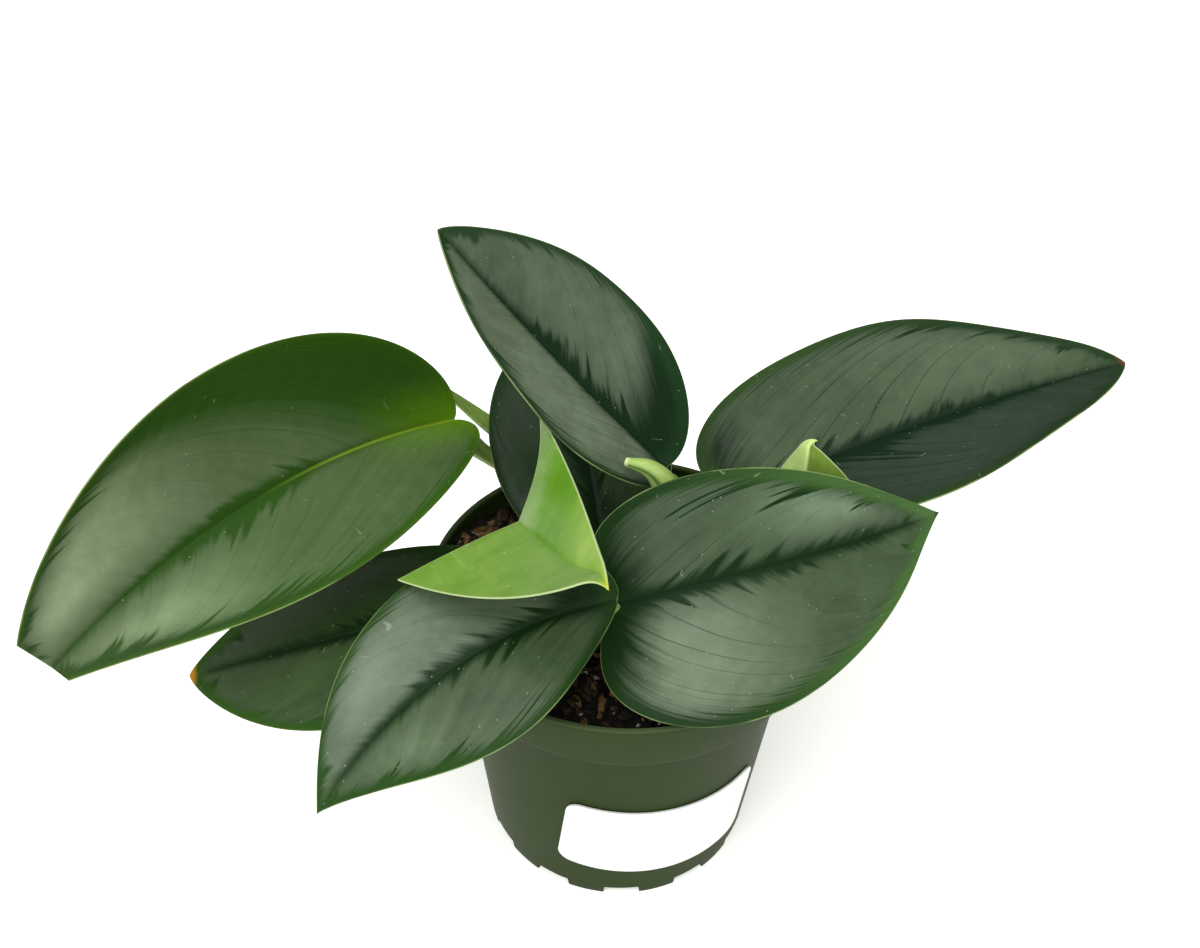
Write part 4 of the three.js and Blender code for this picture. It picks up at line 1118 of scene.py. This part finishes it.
class PLANT_OT_soil(bpy.types.Operator):
    """Makes the soil with its crumbs, bark chips and pale grains"""

    bl_idname = "plant.soil"
    bl_label = "Soil"

    @staticmethod
    def heap(x, y):
        """A smooth rise from 0 to 1 towards the left rim, where the mix is heaped up."""
        return np.exp(-(((x + 46) / 15) ** 2) - ((y - 12) / 22) ** 2)

    def height(self, settings, x, y):
        """Height of the soil: a low mound, crossing ripples for its lumps and finer relief for its crumbs."""
        lumps = (
            np.sin(x * 0.55 + 1.3) * np.cos(y * 0.48)
            + 0.6 * np.sin(x * 0.31 - y * 0.72)
            + 0.4 * np.cos(x * 0.95 + y * 0.37)
        )
        mound = 1.2 * (1 - (x * x + y * y) / 52**2) - 0.6 + 6.2 * self.heap(x, y)
        crumbs = 0.45 * ripples(x, y, 3, 4.5) + 0.28 * ripples(x, y, 4, 1.9) + 0.16 * np.abs(ripples(x, y, 5, 0.9))
        return settings.top / MM + mound + settings.lump / MM / 2 * lumps + crumbs

    @staticmethod
    def stem_distance(x, y):
        """Distance to the middle of the nearest stem."""
        return np.min([np.hypot(x - root[0], y - root[1]) for root, _ in SHOOTS.values()], axis=0)

    def execute(self, context):
        """The bed and the grains on it share one finish, and each carries its own colours."""
        settings = context.scene.plant_soil
        finish = potting_mix(settings)
        outer = inner_radius(context.scene.plant_pot, SOIL_EDGE_Z) - SOIL_GAP
        self.bed(settings, context.scene.plant_pot, outer, finish)
        self.grains(settings, outer, finish)
        return {"FINISHED"}

    def bed(self, settings, pot, outer, finish):
        """A round height field, sunk where the stems stand, joined to a side and a floor."""
        turns = np.linspace(0, 2 * np.pi, 241)
        radius = np.linspace(0, outer, 84)[:, None]
        x, y = radius * np.cos(turns), radius * np.sin(turns)
        z = self.height(settings, x, y) - 6 * smooth_step(4.4, 3.6, self.stem_distance(x, y))
        levels = np.array([[77], [BAND_STEP_Z], [SOIL_BOTTOM_Z]])
        points, triangles = grid(np.concatenate([
            np.stack([x, y, z], axis=-1),
            round_axis(inner_radius(pot, levels) - SOIL_GAP, turns, levels),
            round_axis(0, turns[None], SOIL_BOTTOM_Z),
        ]))
        tone = 0.6 + 0.8 * np.clip(0.5 + 0.5 * ripples(points[:, 0], points[:, 1], 8, 2.5), 0, 1)
        colours = np.array(settings.colour) * tone[:, None]
        colours[:, 3] = 1
        make_piece("soil_bed", points, triangles, finish, "soil", ["soil"], {"grain_colour": colours})

    def grains(self, settings, outer, finish):
        """Squashed, dented balls lying in the soil: bark chips, pale grains and crumbs of the mix."""
        rng = np.random.default_rng(11)
        count = settings.grains
        rows = np.linspace(0, np.pi, GRAIN_ROWS)[:, None]
        ball = round_axis(np.sin(rows), np.linspace(0, 2 * np.pi, GRAIN_COLUMNS), np.cos(rows))
        spread = np.sqrt(rng.uniform(0, 1, count)) * (outer - 2.5)
        turn = rng.uniform(0, 2 * np.pi, count)
        x, y = spread * np.cos(turn), spread * np.sin(turn)
        clear = self.stem_distance(x, y) > STEM_ROOM
        x, y = x[clear], y[clear]
        count = len(x)

        def drawn(low, high):
            """A random number between two limits for each grain."""
            return rng.uniform(low, high, count)

        kind, heaped = drawn(0, 1), self.heap(x, y)
        bark, pale = kind < 0.26 + 0.34 * heaped, kind > 0.85
        size = np.where(bark, drawn(0.6, 1.7) * (1 + 0.9 * heaped), drawn(0.4, 1.1))
        size = np.where(pale, drawn(0.25, 0.7), size)
        flatness = np.where(bark, drawn(0.25, 0.5), drawn(0.6, 1))
        stretch = np.where(bark, drawn(1.1, 2.2), drawn(0.9, 1.4))
        each = (slice(None), None, None)
        dents = 1 + 0.35 * np.sin(ball[..., 0] * drawn(2, 5)[each] + drawn(0, 6)[each])
        dents = dents * (1 + 0.25 * np.sin(ball[..., 1] * 4 + ball[..., 2] * 3 + kind[each] * 40))
        proportions = np.stack([stretch, 1 / stretch**0.5, flatness], axis=1) * size[:, None]
        points = ball * dents[..., None] * proportions[each]
        # Each grain leans from its height towards its length, then turns about the upright axis.
        for first, second, angle in ((2, 0, drawn(-0.6, 0.6)[each]), (0, 1, drawn(0, 2 * np.pi)[each])):
            a, b = points[..., first].copy(), points[..., second].copy()
            points[..., first] = a * np.cos(angle) - b * np.sin(angle)
            points[..., second] = a * np.sin(angle) + b * np.cos(angle)
        points = points + np.stack([x, y, self.height(settings, x, y) + 0.15 * size], axis=1)[each]
        corners = GRAIN_ROWS * GRAIN_COLUMNS
        triangles = (cells(numbered(ball)) + corners * np.arange(count)[each]).reshape(-1, 3)
        shade = rng.uniform(0.5, 1.5, (count, 1))
        colours = np.array(settings.colour) * shade * 1.4
        amber = bark & (drawn(0, 1) > 0.75 - 0.4 * heaped)
        for chosen, colour, light in (
            (bark, settings.bark_colour, shade),
            (amber, linear((146, 108, 62)), shade),
            (pale, settings.pale_colour, np.clip(shade, 0.5, 1)),
        ):
            colours = np.where(chosen[:, None], np.array(colour) * light, colours)
        colours[:, 3] = 1
        fields = {"grain_colour": np.repeat(colours, corners, axis=0)}
        make_piece("soil_grains", points.reshape(-1, 3), triangles, finish, "soil", fields=fields)


class PLANT_OT_shoots(bpy.types.Operator):
    """Makes the shoots: stems with the leaf stalks and the dry sheath that grew on them"""

    bl_idname = "plant.shoots"
    bl_label = "Shoots"

    def execute(self, context):
        """Each stem is a short ringed rod, and each stalk a channelled tube that swells to a knuckle at its leaf."""
        settings = context.scene.plant_shoot
        skin = stalk_skin(settings)
        for name, (root, stalks) in SHOOTS.items():
            parts = [self.stem(settings, root), *(self.stalk(settings, root, *stalk) for stalk in stalks)]
            if name == "shoot_left":
                parts.append(self.sheath())
            points, triangles, fields = joined(parts)
            make_piece(name + "_skin", points, triangles, skin, "stem", [name], fields, crease=50)
        return {"FINISHED"}

    def stem(self, settings, root):
        """A rod that narrows by 15 % to its top, with ring scars and a rounded end."""
        levels = np.concatenate([np.linspace(STEM_BOTTOM_Z, 76, 6), np.linspace(76.5, STEM_TOP_Z, 26)])
        share = (levels - STEM_BOTTOM_Z) / (STEM_TOP_Z - STEM_BOTTOM_Z)
        scars = 0.03 * np.exp(-(((levels - 83.2) / 0.6) ** 2)) - 0.06 * np.exp(-(((levels - 81.5) / 0.35) ** 2))
        radii = settings.stem_radius / MM * (1 - 0.15 * share) * (1 + scars)
        radii[-3:] *= (0.95, 0.8, 0.5)
        path = np.stack(np.broadcast_arrays(*root, levels), axis=1)
        return tube(path, radii, STALK_ANGLES, 1 + 0.03 * np.cos(3 * STALK_ANGLES), (1, 0, 0))

    def stalk(self, settings, root, leaf_name, through, girth):
        """A tube on a smooth curve; its upper side is channelled, its foot clasps the stem, its end is a knuckle."""
        leaf = {**PLAIN, **LEAVES[leaf_name]}
        joint, forward, side, up = (track[0] for track in along_midrib(leaf, np.array([0.0])))
        end = joint - forward * STALK_SETBACK - up * (BLADE_THICKNESS + RIB_DEPTH + KNUCKLE_GAP)
        path = curve_through([(*root, STEM_TOP_Z - STALK_FOOT_DEPTH), *through, end], 61)
        thick, knuckle = settings.stalk_radius / MM, settings.knuckle_radius / MM
        radii = at_stations([STALK_FOOT_RADIUS, 1.15 * thick, *[thick] * 3, knuckle, 0.4 * knuckle], 61) * girth
        radii[-1] *= 0.8
        channel = 0.16 * np.exp(-(((STALK_ANGLES - np.pi) / 0.5) ** 2))
        return tube(path, radii, STALK_ANGLES, 1 - channel, -side)

    def sheath(self):
        """A narrow folded sheath, made as a small blade with no rib."""
        points, triangles, fields = blade(SHEATH, rows=50, half_columns=8, rib_depth=0, groove=0, quilting=0)
        return points, triangles, {"round": fields["vein"] * 0.1, "run": fields["along"] * SHEATH["length"]}


class PLANT_OT_grown_leaves(bpy.types.Operator):
    """Makes the seven grown leaf blades"""

    bl_idname = "plant.grown_leaves"
    bl_label = "Grown leaves"

    def execute(self, context):
        """Each blade is a folded sheet from its row of LEAVES, marked by its row of MARKS."""
        settings = context.scene.plant_leaf
        sizes = dict(thickness=settings.thickness / MM, rib_depth=settings.rib_depth / MM)
        for name, mark in MARKS.items():
            points, triangles, fields = blade(LEAVES[name], **sizes)
            skin = grown_leaf_skin(name, settings, mark)
            make_piece(name + "_blade", points, triangles, skin, "grown_leaf", [name], fields)
        return {"FINISHED"}


class PLANT_OT_young_leaves(bpy.types.Operator):
    """Makes the two young leaf blades that have opened"""

    bl_idname = "plant.young_leaves"
    bl_label = "Young leaves"

    def execute(self, context):
        """Each blade is a folded sheet from its row of LEAVES, nearly flat between its veins."""
        settings = context.scene.plant_young_leaf
        for name, tint in YOUNG_TINTS.items():
            points, triangles, fields = blade(LEAVES[name], thickness=settings.thickness / MM, quilting=0.03)
            skin = young_leaf_skin(name, settings, tint)
            make_piece(name + "_blade", points, triangles, skin, "young_leaf", [name], fields)
        return {"FINISHED"}


class PLANT_OT_rolled_leaf(bpy.types.Operator):
    """Makes the young leaf that is still rolled into a horn"""

    bl_idname = "plant.rolled_leaf"
    bl_label = "Rolled leaf"

    def execute(self, context):
        """A tube whose section is a lapped sheet: its radius shrinks round to a step, which is the seam."""
        settings = context.scene.plant_young_leaf
        rings, turns = 91, np.linspace(0, 1, 60)
        path = curve_through(ROLLED_LEAF_ROUTE, rings)
        angles = np.append(turns, 1) * 2 * np.pi
        lap = np.append(1.06 - 0.24 * turns**3, 1.06)
        radii = at_stations(ROLLED_LEAF_RADII, rings)
        points, triangles, fields = tube(path, radii, angles, lap, (0, 0, 1), turn=2.35)
        fields["run"] = np.repeat([0, *np.linspace(0, 1, rings), 1], len(angles))
        fields["seam"] = np.tile(np.minimum(angles, 2 * np.pi - angles), rings + 2)
        make_piece(
            "young_leaf_rolled_blade", points, triangles, rolled_leaf_skin(settings), "young_leaf",
            ["young_leaf_rolled"], fields, crease=55,
        )
        return {"FINISHED"}


class PLANT_OT_stage(bpy.types.Operator):
    """Makes the floor, the soft studio light and the camera"""

    bl_idname = "plant.stage"
    bl_label = "Stage"

    def execute(self, context):
        """A pale sweep of floor under a light from the front, in a surround that is brightest there and above."""
        scene, settings = context.scene, context.scene.plant_stage
        half = settings.floor_size / MM / 2
        x, y = np.meshgrid(*[np.linspace(-half, half, 9)] * 2, indexing="ij")
        make_piece("floor", *grid(np.stack([x, y, 0 * x], axis=-1)), floor_paper(settings))

        for name, power, size, turn in (
            ("front_light", settings.key_power, 50, (32, -14, 0)),
            ("overhead_light", settings.key_power * 0.3, 80, (-5, -10, 0)),
        ):
            lamp = bpy.data.lights.new(name, "SUN")
            lamp.energy = power
            lamp.angle = math.radians(size)
            holder = bpy.data.objects.new(name, lamp)
            holder.rotation_euler = [math.radians(angle) for angle in turn]
            scene.collection.objects.link(holder)

        surround = Finish("surround", "worlds")
        facing = surround.node(
            "VectorMath", {0: surround.node("TexCoord", output="Generated"), 1: SURROUND_BRIGHT_SIDE}, "Value",
            operation="DOT_PRODUCT",
        )
        glow = facing.step(-0.1, 0.95, 0.2, 1.2) * settings.sky_power
        scene.world = surround.end({"Strength": glow}, "Background", "World")
        scene.view_settings.view_transform = "Standard"
        scene.view_settings.look = "None"
        scene.view_settings.exposure = 0
        scene.view_settings.gamma = 1

        lens = bpy.data.cameras.new("photo_camera")
        lens.sensor_width = SENSOR_WIDTH
        lens.lens = FOCAL_LENGTH * SENSOR_WIDTH / PICTURE_WIDTH
        lens.clip_start = 10 * MM
        camera = bpy.data.objects.new("photo_camera", lens)
        axes = np.column_stack([*CAMERA_AXES, np.array(CAMERA_EYE) * MM])
        camera.matrix_world = mathutils.Matrix([*axes.tolist(), [0, 0, 0, 1]])
        scene.collection.objects.link(camera)
        scene.camera = camera
        return {"FINISHED"}


class PLANT_PT_panel(bpy.types.Panel):
    """Lists the settings and the steps of the plant"""

    bl_label = "Potted scindapsus"
    bl_space_type = "VIEW_3D"
    bl_region_type = "UI"
    bl_category = "Plant"

    def draw(self, context):
        """A box for each step, with its button and its settings."""
        for operator, group in STEPS:
            box = self.layout.box()
            box.operator(operator.bl_idname)
            settings = getattr(context.scene, group)
            for name in type(settings).__annotations__:
                box.prop(settings, name)


SETTINGS = {
    "plant_pot": PotSettings,
    "plant_label": LabelSettings,
    "plant_soil": SoilSettings,
    "plant_shoot": ShootSettings,
    "plant_leaf": LeafSettings,
    "plant_young_leaf": YoungLeafSettings,
    "plant_stage": StageSettings,
}
STEPS = (
    (PLANT_OT_pot, "plant_pot"),
    (PLANT_OT_label, "plant_label"),
    (PLANT_OT_soil, "plant_soil"),
    (PLANT_OT_shoots, "plant_shoot"),
    (PLANT_OT_grown_leaves, "plant_leaf"),
    (PLANT_OT_young_leaves, "plant_young_leaf"),
    (PLANT_OT_rolled_leaf, "plant_young_leaf"),
    (PLANT_OT_stage, "plant_stage"),
)


def register():
    """Registers the settings, the operators and the panel, and hangs the settings on the scene."""
    for cls in (*SETTINGS.values(), *(operator for operator, _ in STEPS), PLANT_PT_panel):
        bpy.utils.register_class(cls)
    for name, cls in SETTINGS.items():
        setattr(bpy.types.Scene, name, bpy.props.PointerProperty(type=cls))


def unregister():
    """Takes away what register() made, in the opposite order."""
    for name in SETTINGS:
        delattr(bpy.types.Scene, name)
    for cls in (PLANT_PT_panel, *(operator for operator, _ in reversed(STEPS)), *reversed(SETTINGS.values())):
        bpy.utils.unregister_class(cls)


def main():
    """Makes every piece in order."""
    register()
    bpy.ops.plant.pot()
    bpy.ops.plant.label()
    bpy.ops.plant.soil()
    bpy.ops.plant.shoots()
    bpy.ops.plant.grown_leaves()
    bpy.ops.plant.young_leaves()
    bpy.ops.plant.rolled_leaf()
    bpy.ops.plant.stage()


if __name__ == "__main__":
    main()
